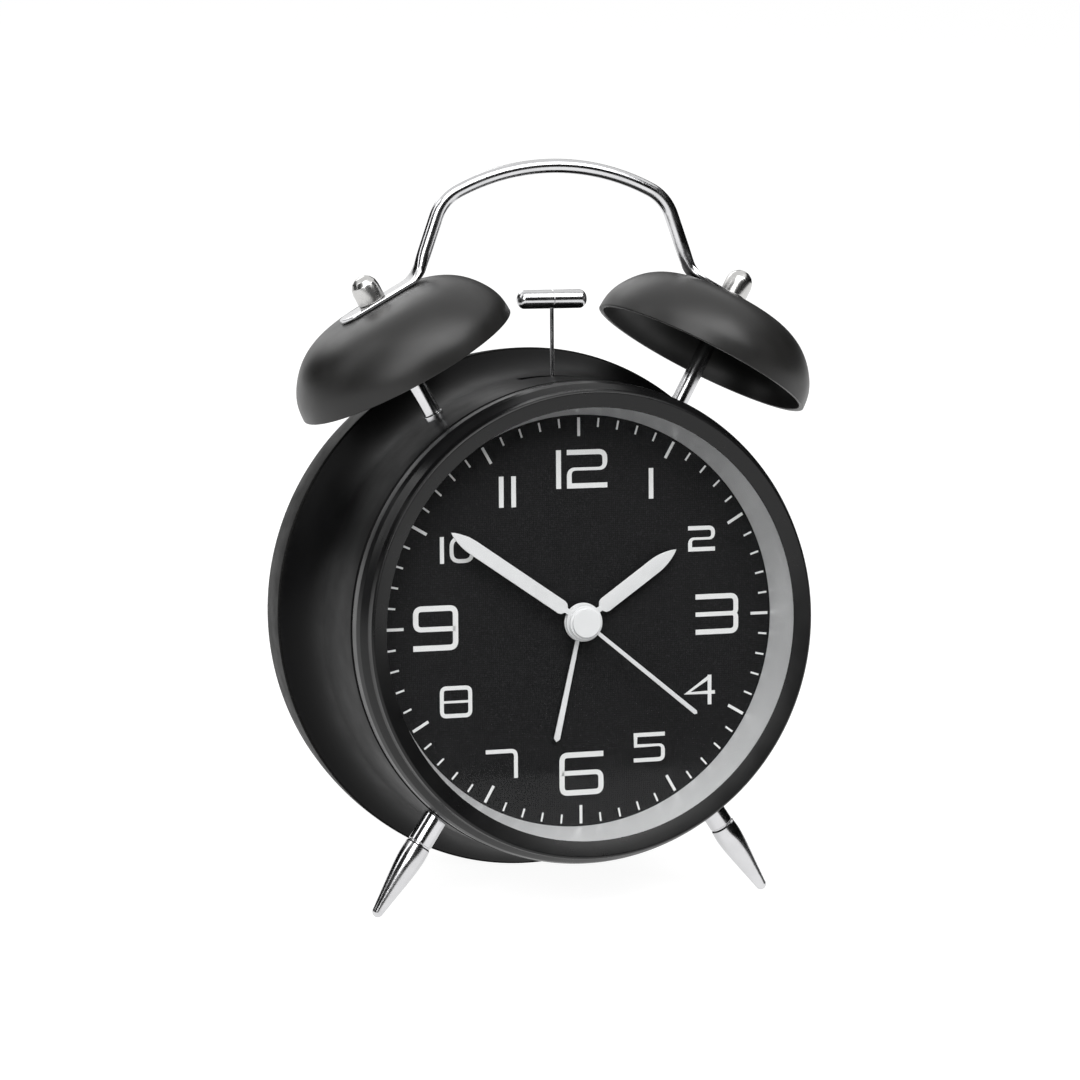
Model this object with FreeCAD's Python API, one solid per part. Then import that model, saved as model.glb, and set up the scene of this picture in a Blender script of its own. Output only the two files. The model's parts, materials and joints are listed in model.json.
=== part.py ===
import FreeCAD, Part
import math
import os

# Twin-bell alarm clock, millimetres.
# The clock is built upright about its dial axis: X to the right seen from the front, Y from the front
# of the dial into the case, Z up, and the origin at the middle of the dial's front face.
# At the end every piece is leaned back together until the clock stands on its two legs and rear rim.

V = FreeCAD.Vector
os.makedirs("parts", exist_ok=True)

# ---------------------------------------------------------------- driving dimensions
RUN = 0.05                  # radial clearance of a turning shaft in its hole
GAP = 0.35                  # clearance between pieces that move past each other
SEAM = 0.1                  # visible joint line between two fixed pieces

# case
NECK_R = 53.4               # outside radius of the drum behind the bezel
FLARE = 5.4                 # how much wider the drum is at its rear
SHELL = 1.2                 # sheet thickness of the drum
DRUM_FRONT = -1.7
NECK_END = 17.5             # the flare starts here
DRUM_REAR = 33.6
BAND_STEP = 0.4             # the rear band stands this far outside the drum
BAND_TAPER = 1.3
SKIRT_IN = 3.2              # inside of the cover's skirt, in from the drum's rear edge
SKIRT_REACH = 1.9           # how far the skirt enters the drum
COVER_DEPTH = 10.6          # from the drum's rear edge to the cover plate
COVER_T = 1.8
RIM_STAND = 1.0             # how far the rim stands behind the cover plate

# front
LENS_FRONT = -8.6
LENS_T = 1.2
LIP_IN = 2.8                # the bezel's lip reaches this far in over the lens
LIP_NOSE = 1.7              # how far the front ridge stands ahead of the lens
RIDGE_IN = 2.2              # top of the ridge, in from the outside of the bezel
BEZEL_WALL = 1.65
BEZEL_IN = 0.2              # the bezel is this much smaller than the drum
SKIRT_REAR = 2.2
DIAL_T = 0.6
DIAL_EDGE = 4.9             # width of the reflector's slope beside the dial
CARRIER_T = 1.6

# bells, posts, handle
BELL_Y = 14.0               # the posts stand at this depth
POST_ANGLE = 32.3           # where a post stands on the drum, from the top
POST_LEAN = 29.0            # outward lean of a post
POST_R = 1.9
STUD_R = 1.5
BELL_R = 25.7
BELL_RIM_S = 13.1           # rim of the bell above the drum, along the post
BELL_HEIGHT = 15.1
BELL_WALL = 1.1
PLATE_T = 1.1               # flattened foot of the handle
PLATE_W = 7.0
PLATE_OUT = 8.4             # reach of the plate outside the post
PLATE_IN = 11.4             # from the post to the foot of the rod
CAP_R = 3.1
CAP_H = 6.1
ROD_R = 1.6
HANDLE_TOP = 100.0          # centre of the rod at the middle of the arch
ARCH_R = 51.0
KNEE = (27.8, 89.0)         # where the straight leg of the handle ends

# legs
LEG_Y = 5.5
LEG_ANGLE = 37.1            # where a leg leaves the drum, from the bottom
LEG_LEAN = 34.0
LEG_LEN = 25.3
LEG_R = 2.85
LEG_TIP_R = 1.25

# hands: depth of the front face, thickness, length, angle clockwise from 12
HAND_T = 0.4
ALARM_HAND = (-1.2, 27.1, 193.0)
HOUR_HAND = (-2.1, 26.9, 55.6)
MINUTE_HAND = (-3.0, 37.2, 304.2)
SECOND_HAND = (-3.8, 34.0, 129.1)
HUB_R = 3.8
HUB_T = 0.9

# movement: plates and arbors
PLATE_Y = 2.2               # front face of the movement
WALL = 1.5
MID_Y = 8.6
MID_T = 1.0
REAR_Y = 15.3
MOVE_HALF = 27.0
MOVE_TOP = 24.3
MOVE_BOTTOM = -31.0
SECOND_ARBOR = 0.5
CENTRE_TUBE = 0.85
CANNON_TUBE = 1.25
HOUR_TUBE = 1.8
ALARM_TUBE = 2.4
SET_ARBOR = 1.0
PIVOT = 0.5

# gearing: module, wheel teeth, pinion leaves
M_THIRD = 0.3
M_MINUTE = 0.46
M_INTER = 0.43
M_ROTOR = 0.3
M_ALARM = 0.35
M_CRANK = 0.4
THIRD_TEETH = 60
CENTRE_TEETH = 64
SECOND_TEETH = 40
INTER_TEETH = 36
MINUTE_TEETH = 36
HOUR_TEETH = 40
ALARM_TEETH = 48
CRANK_TEETH = 40
TRAIN_LEAVES = 8
CANNON_LEAVES = 12
MINUTE_LEAVES = 10
ROTOR_LEAVES = 6
ALARM_LEAVES = 16
MOTOR_LEAVES = 10

# striker
HAMMER_Y = 16.4
HINGE_IN = 16.4             # hinge of the hammer, below the top of the drum
HEAD_R = 2.1
HEAD_RISE = 1.45            # the head's middle is this far above the inner tips of the bells
STRIKE_GAP = 4.2            # from each end of the head to a bell
STEM_R = 0.45
FORK_ARM = 10.0
FORK_GAP = 3.0
CRANK_THROW = 0.7
BRACKET_Y = 22.4
BRACKET_T = 1.0
STANDOFF_IN = 5.7           # the bracket's posts, in from the edge of the carrier
STANDOFF_ANGLE = 23.7
MOTOR_R = 7.0
MOTOR_LEN = 16.5
ROCKER_T = 2.4
PIN_R = 1.0
SMALL_SCREW_R = 0.9
LEAD_R = 0.5

# battery bay
CELL_R = 7.1
CELL_LEN = 50.0
CELL_PITCH = 15.0
TRAY_WALL = 1.6
TRAY_DEPTH = 18.0
TRAY_CLEAR = 0.5            # from the tray's lower corners to the drum
CONTACT_T = 0.4
SPRING_R = 3.2
SPRING_WIRE_R = 0.35
DOOR_LAP = 0.9              # the door's opening is wider than the tray by this

# rear controls
KNOB_R = 6.5
KNOB_T = 6.0
SWITCH_Z = 38.0
SWITCH_TRAVEL = 3.0
SCREW_IN = 8.4              # cover screws, in from the drum's rear edge
COVER_SCREW_R = 1.25
SINK = 1.4                  # depth of the screw heads in the cover
LUG_T = 5.0
LUG_R = 4.2

# ---------------------------------------------------------------- derived dimensions
DRUM_END_R = NECK_R + FLARE
BAND_R = DRUM_END_R + BAND_STEP
BAND_REAR_R = BAND_R - BAND_TAPER
SKIRT_R = DRUM_END_R - SKIRT_IN
SCREW_RING = DRUM_END_R - SCREW_IN
BAND_FRONT = DRUM_REAR + 3 * SEAM
SKIRT_FRONT = DRUM_REAR - SKIRT_REACH
LUG_REAR = SKIRT_FRONT - GAP - RUN
COVER_Y = DRUM_REAR + COVER_DEPTH
COVER_REAR = COVER_Y + COVER_T
CASE_REAR = COVER_REAR + RIM_STAND
BEZEL_R = NECK_R - BEZEL_IN
BEZEL_BORE = NECK_R - SHELL - RUN - BEZEL_WALL
LIP_R = BEZEL_BORE - LIP_IN
DIAL_VIEW_R = BEZEL_BORE - DIAL_EDGE
STANDOFF_X = (BEZEL_BORE - STANDOFF_IN) * math.sin(math.radians(STANDOFF_ANGLE))
STANDOFF_Z = (BEZEL_BORE - STANDOFF_IN) * math.cos(math.radians(STANDOFF_ANGLE))
ROCKER_Z = NECK_R - HINGE_IN
POST_X = NECK_R * math.sin(math.radians(POST_ANGLE))
POST_Z = NECK_R * math.cos(math.radians(POST_ANGLE))
LEG_X = NECK_R * math.sin(math.radians(LEG_ANGLE))
LEG_Z = -NECK_R * math.cos(math.radians(LEG_ANGLE))
LEAN_SIN = math.sin(math.radians(POST_LEAN))
LEAN_COS = math.cos(math.radians(POST_LEAN))
BELL_TIP_X = POST_X + BELL_RIM_S * LEAN_SIN - BELL_R * LEAN_COS
BELL_TIP_Z = POST_Z + BELL_RIM_S * LEAN_COS + BELL_R * LEAN_SIN
HEAD_Z = BELL_TIP_Z + HEAD_RISE
HEAD_LEN = 2 * (BELL_TIP_X - STRIKE_GAP)
CROWN_S = BELL_RIM_S + BELL_HEIGHT
PLATE_S = CROWN_S + PLATE_T
A_TRAIN = M_THIRD * (THIRD_TEETH + TRAIN_LEAVES) / 2
M_CENTRE = 2 * A_TRAIN / (CENTRE_TEETH + TRAIN_LEAVES)
A_MINUTE = M_MINUTE * (MINUTE_TEETH + CANNON_LEAVES) / 2
M_HOUR = 2 * A_MINUTE / (HOUR_TEETH + MINUTE_LEAVES)
A_INTER = M_INTER * (SECOND_TEETH + TRAIN_LEAVES) / 2
A_ROTOR = M_ROTOR * (INTER_TEETH + ROTOR_LEAVES) / 2
A_ALARM = M_ALARM * (ALARM_TEETH + ALARM_LEAVES) / 2
A_MOTOR = M_CRANK * (CRANK_TEETH + MOTOR_LEAVES) / 2
CRANK_Z = ROCKER_Z - FORK_ARM
THIRD_AT = (0.0, -A_TRAIN)
INTER_AT = (0.0, A_INTER)
ROTOR_AT = (-A_ROTOR, A_INTER)
MINUTE_AT = (-A_MINUTE, 0.0)
ALARM_AT = (A_ALARM, 0.0)
MOTOR_AT = (A_MOTOR, CRANK_Z)
LENS_REAR = LENS_FRONT + LENS_T
TRAY_FLOOR = COVER_Y - TRAY_DEPTH
CELL_Y = TRAY_FLOOR + TRAY_WALL + CELL_R + 0.2
CONTACT_X = CELL_LEN / 2 + 4.1
TRAY_HALF_X = CONTACT_X
TRAY_HALF_Z = CELL_PITCH / 2 + CELL_R + 0.8
TRAY_REACH = NECK_R - SHELL + FLARE * ((TRAY_FLOOR - NECK_END) / (DRUM_REAR - NECK_END)) ** 2 - TRAY_CLEAR
TRAY_LOW = -math.sqrt(TRAY_REACH ** 2 - (TRAY_HALF_X + TRAY_WALL) ** 2)
TRAY_MID_Z = TRAY_LOW + TRAY_HALF_Z + TRAY_WALL
CELL_ZS = (TRAY_MID_Z + CELL_PITCH / 2, TRAY_MID_Z - CELL_PITCH / 2)


# ---------------------------------------------------------------- shape helpers
def outline(start, steps):
    """Closed flat outline: one point is a line, two an arc, more a smooth curve."""
    first = V(start[0], start[1], 0)
    here = first
    edges = []
    for step in steps:
        points = [V(a, b, 0) for a, b in step]
        if len(points) == 1:
            edges.append(Part.makeLine(here, points[0]))
        elif len(points) == 2:
            edges.append(Part.Arc(here, points[0], points[1]).toShape())
        else:
            curve = Part.BSplineCurve()
            curve.interpolate([here] + points)
            edges.append(curve.toShape())
        here = points[-1]
    if here.distanceToPoint(first) > 1e-6:
        edges.append(Part.makeLine(here, first))
    return Part.Face(Part.Wire(edges))


def turn(start, steps):
    """Solid of revolution about Y from an outline in (radius, y)."""
    return outline(start, steps).revolve(V(0, 0, 0), V(0, 1, 0), 360)


def rod(x, z, y0, y1, radius):
    """Cylinder along Y."""
    return Part.makeCylinder(radius, y1 - y0, V(x, y0, z), V(0, 1, 0))


def tube(x, z, y0, y1, outer, inner):
    return rod(x, z, y0, y1, outer).cut(rod(x, z, y0, y1, inner))


def block(x0, x1, y0, y1, z0, z1):
    return Part.makeBox(x1 - x0, y1 - y0, z1 - z0, V(x0, y0, z0))


def fuse(shapes):
    whole = shapes[0]
    for shape in shapes[1:]:
        whole = whole.fuse(shape)
    return whole.removeSplitter()


def cut(shape, tools):
    for tool in tools:
        shape = shape.cut(tool)
    return shape


def mirrored(shape):
    return shape.mirror(V(0, 0, 0), V(1, 0, 0))


def pair(shape):
    """The right-hand piece and its mirror image, as separate solids."""
    return Part.makeCompound([shape, mirrored(shape)])


def on_post(shape):
    """Local X outward across the post, Y up the post, to the right-hand post."""
    a = math.radians(POST_LEAN)
    along = V(math.sin(a), 0, math.cos(a))
    across = V(math.cos(a), 0, -math.sin(a))
    moved = shape.copy()
    turned = FreeCAD.Rotation(across, along, across.cross(along), "XYZ")
    moved.Placement = FreeCAD.Placement(V(POST_X, BELL_Y, POST_Z), turned)
    return moved


def on_leg(shape):
    """Local Y down the leg, to the right-hand leg."""
    a = math.radians(LEG_LEAN)
    along = V(math.sin(a), 0, -math.cos(a))
    across = V(math.cos(a), 0, math.sin(a))
    moved = shape.copy()
    turned = FreeCAD.Rotation(across, along, across.cross(along), "XYZ")
    moved.Placement = FreeCAD.Placement(V(LEG_X, LEG_Y, LEG_Z), turned)
    return moved


def involute(angle):
    return math.tan(angle) - angle


def spur(at, y0, y1, teeth, module, tooth_at, leaf=False):
    """Spur gear along Y; tooth_at is the angle of one tooth centre from X towards Z, degrees."""
    share = 0.36 if leaf else 0.46
    addendum = 0.9 if leaf else 0.75
    pitch = teeth * module / 2
    base = pitch * math.cos(math.radians(20))
    half = math.pi / teeth * share + involute(math.radians(20))
    radii = (pitch - 1.15 * module, pitch, pitch + addendum * module)
    flank = [(r, half - involute(math.acos(min(1.0, base / r)))) for r in radii]
    points = []
    for k in range(teeth):
        middle = math.radians(tooth_at) + 2 * math.pi * k / teeth
        for r, w in flank:
            points.append((r, middle - w))
        for r, w in reversed(flank):
            points.append((r, middle + w))
    corners = [V(at[0] + r * math.cos(a), y0, at[1] + r * math.sin(a)) for r, a in points]
    face = Part.Face(Part.makePolygon(corners + [corners[0]]))
    return face.extrude(V(0, y1 - y0, 0))


def gap_facing(direction, teeth):
    """Tooth angle that puts a gap on the side a mating pinion comes from."""
    return direction + 180 + 180.0 / teeth


def wire(points, radius):
    """Round wire along straight runs with rounded corners."""
    runs = []
    for a, b in zip(points, points[1:]):
        step = V(*b) - V(*a)
        runs.append(Part.makeCylinder(radius, step.Length, V(*a), step))
    joints = [Part.makeSphere(radius, V(*p)) for p in points[1:-1]]
    return fuse(runs + joints)


def screw(at, head_y, head_r, head_t, shank_r, length):
    """Pan-head screw driven from the rear, with a cross slot."""
    x, z = at
    body = rod(x, z, head_y, head_y + head_t, head_r).fuse(rod(x, z, head_y - length, head_y, shank_r))
    slot_w = head_r * 0.16
    slot_l = head_r * 0.6
    top = head_y + head_t
    slots = [
        block(x - slot_l, x + slot_l, top - head_t * 0.5, top + 1, z - slot_w, z + slot_w),
        block(x - slot_w, x + slot_w, top - head_t * 0.5, top + 1, z - slot_l, z + slot_l),
    ]
    return cut(body, slots)


# ---------------------------------------------------------------- case
FLARE_CURVE = ((0.36, 0.13), (0.70, 0.45), (1.0, 1.0))     # share of the depth, share of the flare


def drum_solid(inset=0.0):
    """The drum as a full body; with an inset of SHELL it is the space inside."""
    depth = DRUM_REAR - NECK_END
    flare = [(NECK_R + FLARE * out - inset, NECK_END + back * depth) for back, out in FLARE_CURVE]
    neck = NECK_R - inset
    return turn((0, DRUM_FRONT), [[(neck, DRUM_FRONT)], [(neck, NECK_END)], flare, [(0, DRUM_REAR)]])


def screw_places():
    angles = (0, 120, 240)
    return [
        (SCREW_RING * math.cos(math.radians(a + 90)), SCREW_RING * math.sin(math.radians(a + 90)))
        for a in angles
    ]


def case_drum():
    outer = drum_solid()
    inner = drum_solid(SHELL)
    lugs = []
    for x, z in screw_places():
        lugs += [rod(x * k, z * k, LUG_REAR - LUG_T, LUG_REAR, LUG_R) for k in (1.0, 1.05, 1.1)]
    lug_metal = fuse(lugs).common(inner)
    shell = outer.cut(inner).fuse(lug_metal)
    slot = block(-8.0, 8.0, HAMMER_Y - 2.1, HAMMER_Y + 2.1, NECK_R - 5, NECK_R + 5)
    tools = [slot]
    stud = Part.makeCylinder(STUD_R, 12, V(0, -8, 0), V(0, 1, 0))
    tools += [on_post(stud), mirrored(on_post(stud)), on_leg(stud), mirrored(on_leg(stud))]
    tools += [rod(x, z, LUG_REAR - LUG_T - 1, LUG_REAR + 1, COVER_SCREW_R) for x, z in screw_places()]
    return cut(shell, tools)


def front_bezel():
    nose = LENS_FRONT - LIP_NOSE
    ridge = BEZEL_R - RIDGE_IN
    return turn(
        (BEZEL_BORE, SKIRT_REAR),
        [
            [(BEZEL_BORE, LENS_FRONT)],
            [(LIP_R, LENS_FRONT)],
            [(LIP_R, LENS_FRONT - 0.3)],
            [(ridge - 0.5, nose + 0.1)],
            [(ridge, nose), (ridge + 0.4, nose + 0.5)],
            [(ridge + 0.6, LENS_FRONT + 0.6)],
            [(BEZEL_R - 0.5, LENS_FRONT + 2.2), (BEZEL_R, LENS_FRONT + 3.8)],
            [(BEZEL_R, DRUM_FRONT - 0.6)],
            [(BEZEL_R - 0.3, DRUM_FRONT - SEAM)],
            [(NECK_R - SHELL - 0.05, DRUM_FRONT - SEAM)],
            [(NECK_R - SHELL - 0.05, SKIRT_REAR)],
        ],
    )


def lens():
    return rod(0, 0, LENS_FRONT, LENS_REAR, BEZEL_BORE - SEAM)


def reflector_ring():
    return turn(
        (DIAL_VIEW_R, 0),
        [
            [(LIP_R + 1.2, LENS_REAR)],
            [(BEZEL_BORE - 0.2, LENS_REAR)],
            [(BEZEL_BORE - 0.2, LENS_REAR + 1.2)],
            [(DIAL_VIEW_R + 1.3, 0)],
        ],
    )


def dial_plate():
    return tube(0, 0, 0, DIAL_T, BEZEL_BORE - SEAM, ALARM_TUBE + 0.5)


def standoffs():
    return [(s * STANDOFF_X, STANDOFF_Z) for s in (-1, 1)]


def dial_carrier():
    disc = tube(0, 0, DIAL_T, DIAL_T + CARRIER_T, BEZEL_BORE - 0.05, ALARM_TUBE + RUN)
    posts = [rod(x, z, DIAL_T + CARRIER_T, BRACKET_Y, 2.6) for x, z in standoffs()]
    holes = [rod(x, z, BRACKET_Y - 8, BRACKET_Y + 1, SMALL_SCREW_R) for x, z in standoffs()]
    return cut(fuse([disc] + posts), holes)


def back_cover():
    shell = turn(
        (0, COVER_Y),
        [
            [(SKIRT_R, COVER_Y)],
            [(SKIRT_R, SKIRT_FRONT)],
            [(SKIRT_R + 0.5, SKIRT_FRONT)],
            [(SKIRT_R + 1.4, BAND_FRONT)],
            [(BAND_R - 0.2, BAND_FRONT)],
            [(BAND_R, BAND_FRONT + 0.3)],
            [(BAND_R - 0.45, (BAND_FRONT + CASE_REAR) / 2), (BAND_REAR_R, CASE_REAR - 0.5)],
            [(BAND_REAR_R - 0.15, CASE_REAR - 0.1), (BAND_REAR_R - 0.5, CASE_REAR)],
            [(BAND_REAR_R - 1.4, CASE_REAR)],
            [(BAND_REAR_R - 1.8, COVER_REAR)],
            [(0, COVER_REAR)],
        ],
    )
    columns = [rod(x, z, LUG_REAR + SEAM, COVER_Y, 3.6) for x, z in screw_places()]
    tools = [rod(x, z, LUG_REAR - 1, COVER_REAR + 1, COVER_SCREW_R + RUN) for x, z in screw_places()]
    tools += [rod(x, z, COVER_REAR - SINK, COVER_REAR + 2, 2.9) for x, z in screw_places()]
    tools += [rod(MINUTE_AT[0], MINUTE_AT[1], COVER_Y - 1, COVER_REAR + 1, SET_ARBOR + GAP)]
    tools += [rod(ALARM_AT[0], ALARM_AT[1], COVER_Y - 1, COVER_REAR + 1, SET_ARBOR + GAP)]
    reach = SWITCH_TRAVEL + 2.0 + GAP
    tools += [block(-reach, reach, COVER_Y - 1, COVER_REAR + 1, SWITCH_Z - 1.2 - GAP, SWITCH_Z + 1.2 + GAP)]
    half_x = TRAY_HALF_X + DOOR_LAP
    half_z = TRAY_HALF_Z + DOOR_LAP
    z0 = TRAY_MID_Z - half_z
    z1 = TRAY_MID_Z + half_z
    tools += [block(-half_x, half_x, COVER_Y - 1, COVER_REAR + 1, z0, z1)]
    return cut(fuse([shell] + columns), tools)


def cover_screws():
    seat = COVER_REAR - SINK
    length = seat - LUG_REAR + LUG_T - 0.5
    screws = [screw(at, seat, 2.6, SINK - 0.1, COVER_SCREW_R, length) for at in screw_places()]
    return Part.makeCompound(screws)


# ---------------------------------------------------------------- bells, posts, handle, legs
def bell_curve(radius, height):
    shape = ((0.31, 1.0), (0.55, 0.94), (0.76, 0.77), (0.91, 0.5), (0.985, 0.23), (1.0, 0.0))
    return [(radius * a, BELL_RIM_S + height * b) for a, b in shape]


def bell():
    outer = bell_curve(BELL_R, BELL_HEIGHT)
    inner = bell_curve(BELL_R - BELL_WALL, BELL_HEIGHT - BELL_WALL)
    back = list(reversed(inner))
    return turn(
        (STUD_R, CROWN_S),
        [[outer[0]], outer[1:], [back[0]], back[1:], [(STUD_R, CROWN_S - BELL_WALL)]],
    )


def post():
    upper = turn(
        (0, -1.5),
        [
            [(POST_R + 1.2, -1.5)],
            [(POST_R + 1.2, 0.9)],
            [(POST_R + 0.9, 1.2)],
            [(POST_R, 1.2)],
            [(POST_R, CROWN_S - BELL_WALL - 0.6)],
            [(STUD_R, CROWN_S - BELL_WALL - 0.6)],
            [(STUD_R, PLATE_S + 4.0)],
            [(0, PLATE_S + 4.0)],
        ],
    )
    placed = on_post(upper).cut(drum_solid())
    root = on_post(Part.makeCylinder(STUD_R, 7.0, V(0, -4.6, 0), V(0, 1, 0)))
    return placed.fuse(root).removeSplitter()


def bell_washer():
    top = CROWN_S - BELL_WALL
    return on_post(tube(0, 0, top - 0.6, top, POST_R + 1.1, STUD_R))


def cap_nut():
    dome = PLATE_S + CAP_H - CAP_R
    nut = turn(
        (STUD_R, PLATE_S),
        [
            [(CAP_R, PLATE_S)],
            [(CAP_R, dome)],
            [(CAP_R * math.sqrt(0.5), dome + CAP_R * math.sqrt(0.5)), (0, PLATE_S + CAP_H)],
            [(0, PLATE_S + 4.2)],
            [(STUD_R, PLATE_S + 4.2)],
        ],
    )
    return on_post(nut)


def hex_nut(depth, height):
    """Hexagon nut below the surface of the drum, flats square to Y of the case."""
    across = 5.5
    corner = across / 2 / math.cos(math.pi / 6)
    angles = [math.radians(60 * k) for k in range(6)]
    corners = [V(corner * math.cos(a), -depth - height, corner * math.sin(a)) for a in angles]
    face = Part.Face(Part.makePolygon(corners + [corners[0]]))
    return face.extrude(V(0, height, 0)).cut(Part.makeCylinder(STUD_R, 30, V(0, -20, 0), V(0, 1, 0)))


def drum_nuts():
    depth = SHELL + 0.45
    nuts = [on_post(hex_nut(depth, 2.2)), on_leg(hex_nut(depth, 2.2))]
    return Part.makeCompound(nuts + [mirrored(n) for n in nuts])


def rod_foot():
    a = math.radians(POST_LEAN)
    s = CROWN_S + PLATE_T / 2
    x = POST_X + s * math.sin(a) - PLATE_IN * math.cos(a)
    z = POST_Z + s * math.cos(a) + PLATE_IN * math.sin(a)
    return (x, z)


def handle_line():
    """Centre line: straight legs, a bend tangent to leg and arch on each side, and the arch."""
    centre = V(0, BELL_Y, HANDLE_TOP - ARCH_R)
    foot = V(rod_foot()[0], BELL_Y, rod_foot()[1])
    knee = V(KNEE[0], BELL_Y, KNEE[1])
    run = (knee - foot).normalize()
    inward = V(-run.z, 0, run.x)
    arm = knee - centre
    bend_r = (ARCH_R ** 2 - arm.dot(arm)) / (2 * (ARCH_R + arm.dot(inward)))
    hub = knee + inward * bend_r
    outward = (hub - centre).normalize()
    meet = centre + outward * ARCH_R
    bend = hub + (outward - inward).normalize() * bend_r
    below = foot - run * (1.5 * ROD_R)
    other = [V(-p.x, p.y, p.z) for p in (below, knee, bend, meet)]
    top = V(0, BELL_Y, HANDLE_TOP)
    return Part.Wire(
        [
            Part.makeLine(below, knee),
            Part.Arc(knee, bend, meet).toShape(),
            Part.Arc(meet, top, other[3]).toShape(),
            Part.Arc(other[3], other[2], other[1]).toShape(),
            Part.makeLine(other[1], other[0]),
        ]
    )


def handle_plate():
    width = PLATE_W / 2
    plate = block(-PLATE_IN - 1.2, PLATE_OUT - width, CROWN_S, PLATE_S, -width, width)
    nose = Part.makeCylinder(width, PLATE_T, V(PLATE_OUT - width, CROWN_S, 0), V(0, 1, 0))
    plate = plate.fuse(nose).cut(Part.makeCylinder(STUD_R, 40, V(0, 0, 0), V(0, 1, 0)))
    return on_post(plate)


def handle():
    line = handle_line()
    first = line.Edges[0]
    start = first.valueAt(first.FirstParameter)
    ring = Part.Wire(Part.Circle(start, first.tangentAt(first.FirstParameter), ROD_R).toShape())
    bar = line.makePipeShell([ring], True, False)
    plate = handle_plate()
    below_plate = on_post(Part.makeCylinder(BELL_R, BELL_HEIGHT, V(0, BELL_RIM_S, 0), V(0, 1, 0)))
    return cut(fuse([bar, plate, mirrored(plate)]), [below_plate, mirrored(below_plate)])


def leg():
    tip_y = LEG_LEN - LEG_TIP_R
    body = turn(
        (0, -1.5),
        [
            [(LEG_R - 0.15, -1.5)],
            [(LEG_R - 0.15, 6.4)],
            [(LEG_R - 0.45, 6.6)],
            [(LEG_R - 0.45, 7.0)],
            [(LEG_R, 7.2)],
            [(LEG_R + 0.12, 9.5), (LEG_R, 12.0), (LEG_R * 0.76, 17.5), (LEG_TIP_R, tip_y)],
            [(LEG_TIP_R * math.sqrt(0.5), tip_y + LEG_TIP_R * math.sqrt(0.5)), (0, LEG_LEN)],
        ],
    )
    placed = on_leg(body).cut(drum_solid())
    root = on_leg(Part.makeCylinder(STUD_R, 7.0, V(0, -4.6, 0), V(0, 1, 0)))
    return placed.fuse(root).removeSplitter()


# ---------------------------------------------------------------- hands
def blade(half_steps, length, front, angle, thickness=HAND_T):
    """Flat hand from its right-hand outline (half width, distance from the centre)."""
    right = [V(w, front, d) for w, d in half_steps]
    tip = V(0, front, length)
    left = [V(-w, front, d) for w, d in reversed(half_steps)]
    face = Part.Face(Part.makePolygon(right + [tip] + left + [right[0]]))
    solid = face.extrude(V(0, thickness, 0))
    solid.rotate(V(0, 0, 0), V(0, 1, 0), angle)
    return solid


def lance(width, length):
    """Narrow neck, parallel body and a curved point."""
    steps = [(0.6, 2.5), (0.6, 5.0), (width * 0.75, 5.6), (width, 6.6), (width, length - 6.2)]
    for k in range(1, 6):
        share = k / 6.0
        steps.append((width * math.cos(share * math.pi / 2) ** 0.8, length - 6.2 + 6.2 * share))
    return steps


def hand(steps, spec, boss, bore, boss_t):
    front, length, angle = spec
    flat = blade(steps, length, front, angle)
    middle = front + HAND_T / 2
    collar = rod(0, 0, middle - boss_t / 2, middle + boss_t / 2, boss)
    return flat.fuse(collar).removeSplitter().cut(rod(0, 0, -8, 8, bore))


def alarm_hand():
    steps = [(0.45, 2.5), (0.7, ALARM_HAND[1] - 0.7)]
    return hand(steps, ALARM_HAND, 4.0, ALARM_TUBE, HAND_T)


def hour_hand():
    return hand(lance(1.7, HOUR_HAND[1]), HOUR_HAND, HUB_R + 0.5, HOUR_TUBE, 0.5)


def minute_hand():
    return hand(lance(1.55, MINUTE_HAND[1]), MINUTE_HAND, HUB_R + 0.4, CANNON_TUBE, 0.5)


def second_hand():
    front, length, angle = SECOND_HAND
    flat = blade([(0.42, 0), (0.5, length - 0.5)], length, front, angle, 0.3)
    collar = rod(0, 0, front, front + 0.3, 2.6)
    return flat.fuse(collar).removeSplitter().cut(rod(0, 0, -8, 8, SECOND_ARBOR))


def hub_cap():
    front = SECOND_HAND[0] - HUB_T
    cap = turn(
        (0, front),
        [[(HUB_R - 0.3, front)], [(HUB_R, front + 0.3)], [(HUB_R, SECOND_HAND[0])], [(0, SECOND_HAND[0])]],
    )
    return cap.cut(rod(0, 0, front + 0.4, 0, SECOND_ARBOR))


# ---------------------------------------------------------------- movement case
def corner_posts():
    inset = WALL + 2.5
    return [(s * (MOVE_HALF - inset), z) for s in (-1, 1) for z in (MOVE_TOP - inset, MOVE_BOTTOM + inset)]


def movement_front():
    outer = block(-MOVE_HALF, MOVE_HALF, PLATE_Y, REAR_Y, MOVE_BOTTOM, MOVE_TOP)
    inner = block(
        -MOVE_HALF + WALL, MOVE_HALF - WALL, PLATE_Y + WALL, REAR_Y + 1, MOVE_BOTTOM + WALL, MOVE_TOP - WALL
    )
    posts = [rod(x, z, PLATE_Y + WALL, REAR_Y, 2.2) for x, z in corner_posts()]
    tools = [rod(x, z, 8, REAR_Y + 1, SMALL_SCREW_R) for x, z in corner_posts()]
    tools += [rod(0, 0, 0, 6, ALARM_TUBE + RUN)]
    tools += [rod(x, z, PLATE_Y + 0.7, 6, SET_ARBOR + RUN) for x, z in (MINUTE_AT, ALARM_AT)]
    return cut(fuse([outer.cut(inner)] + posts), tools)


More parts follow.
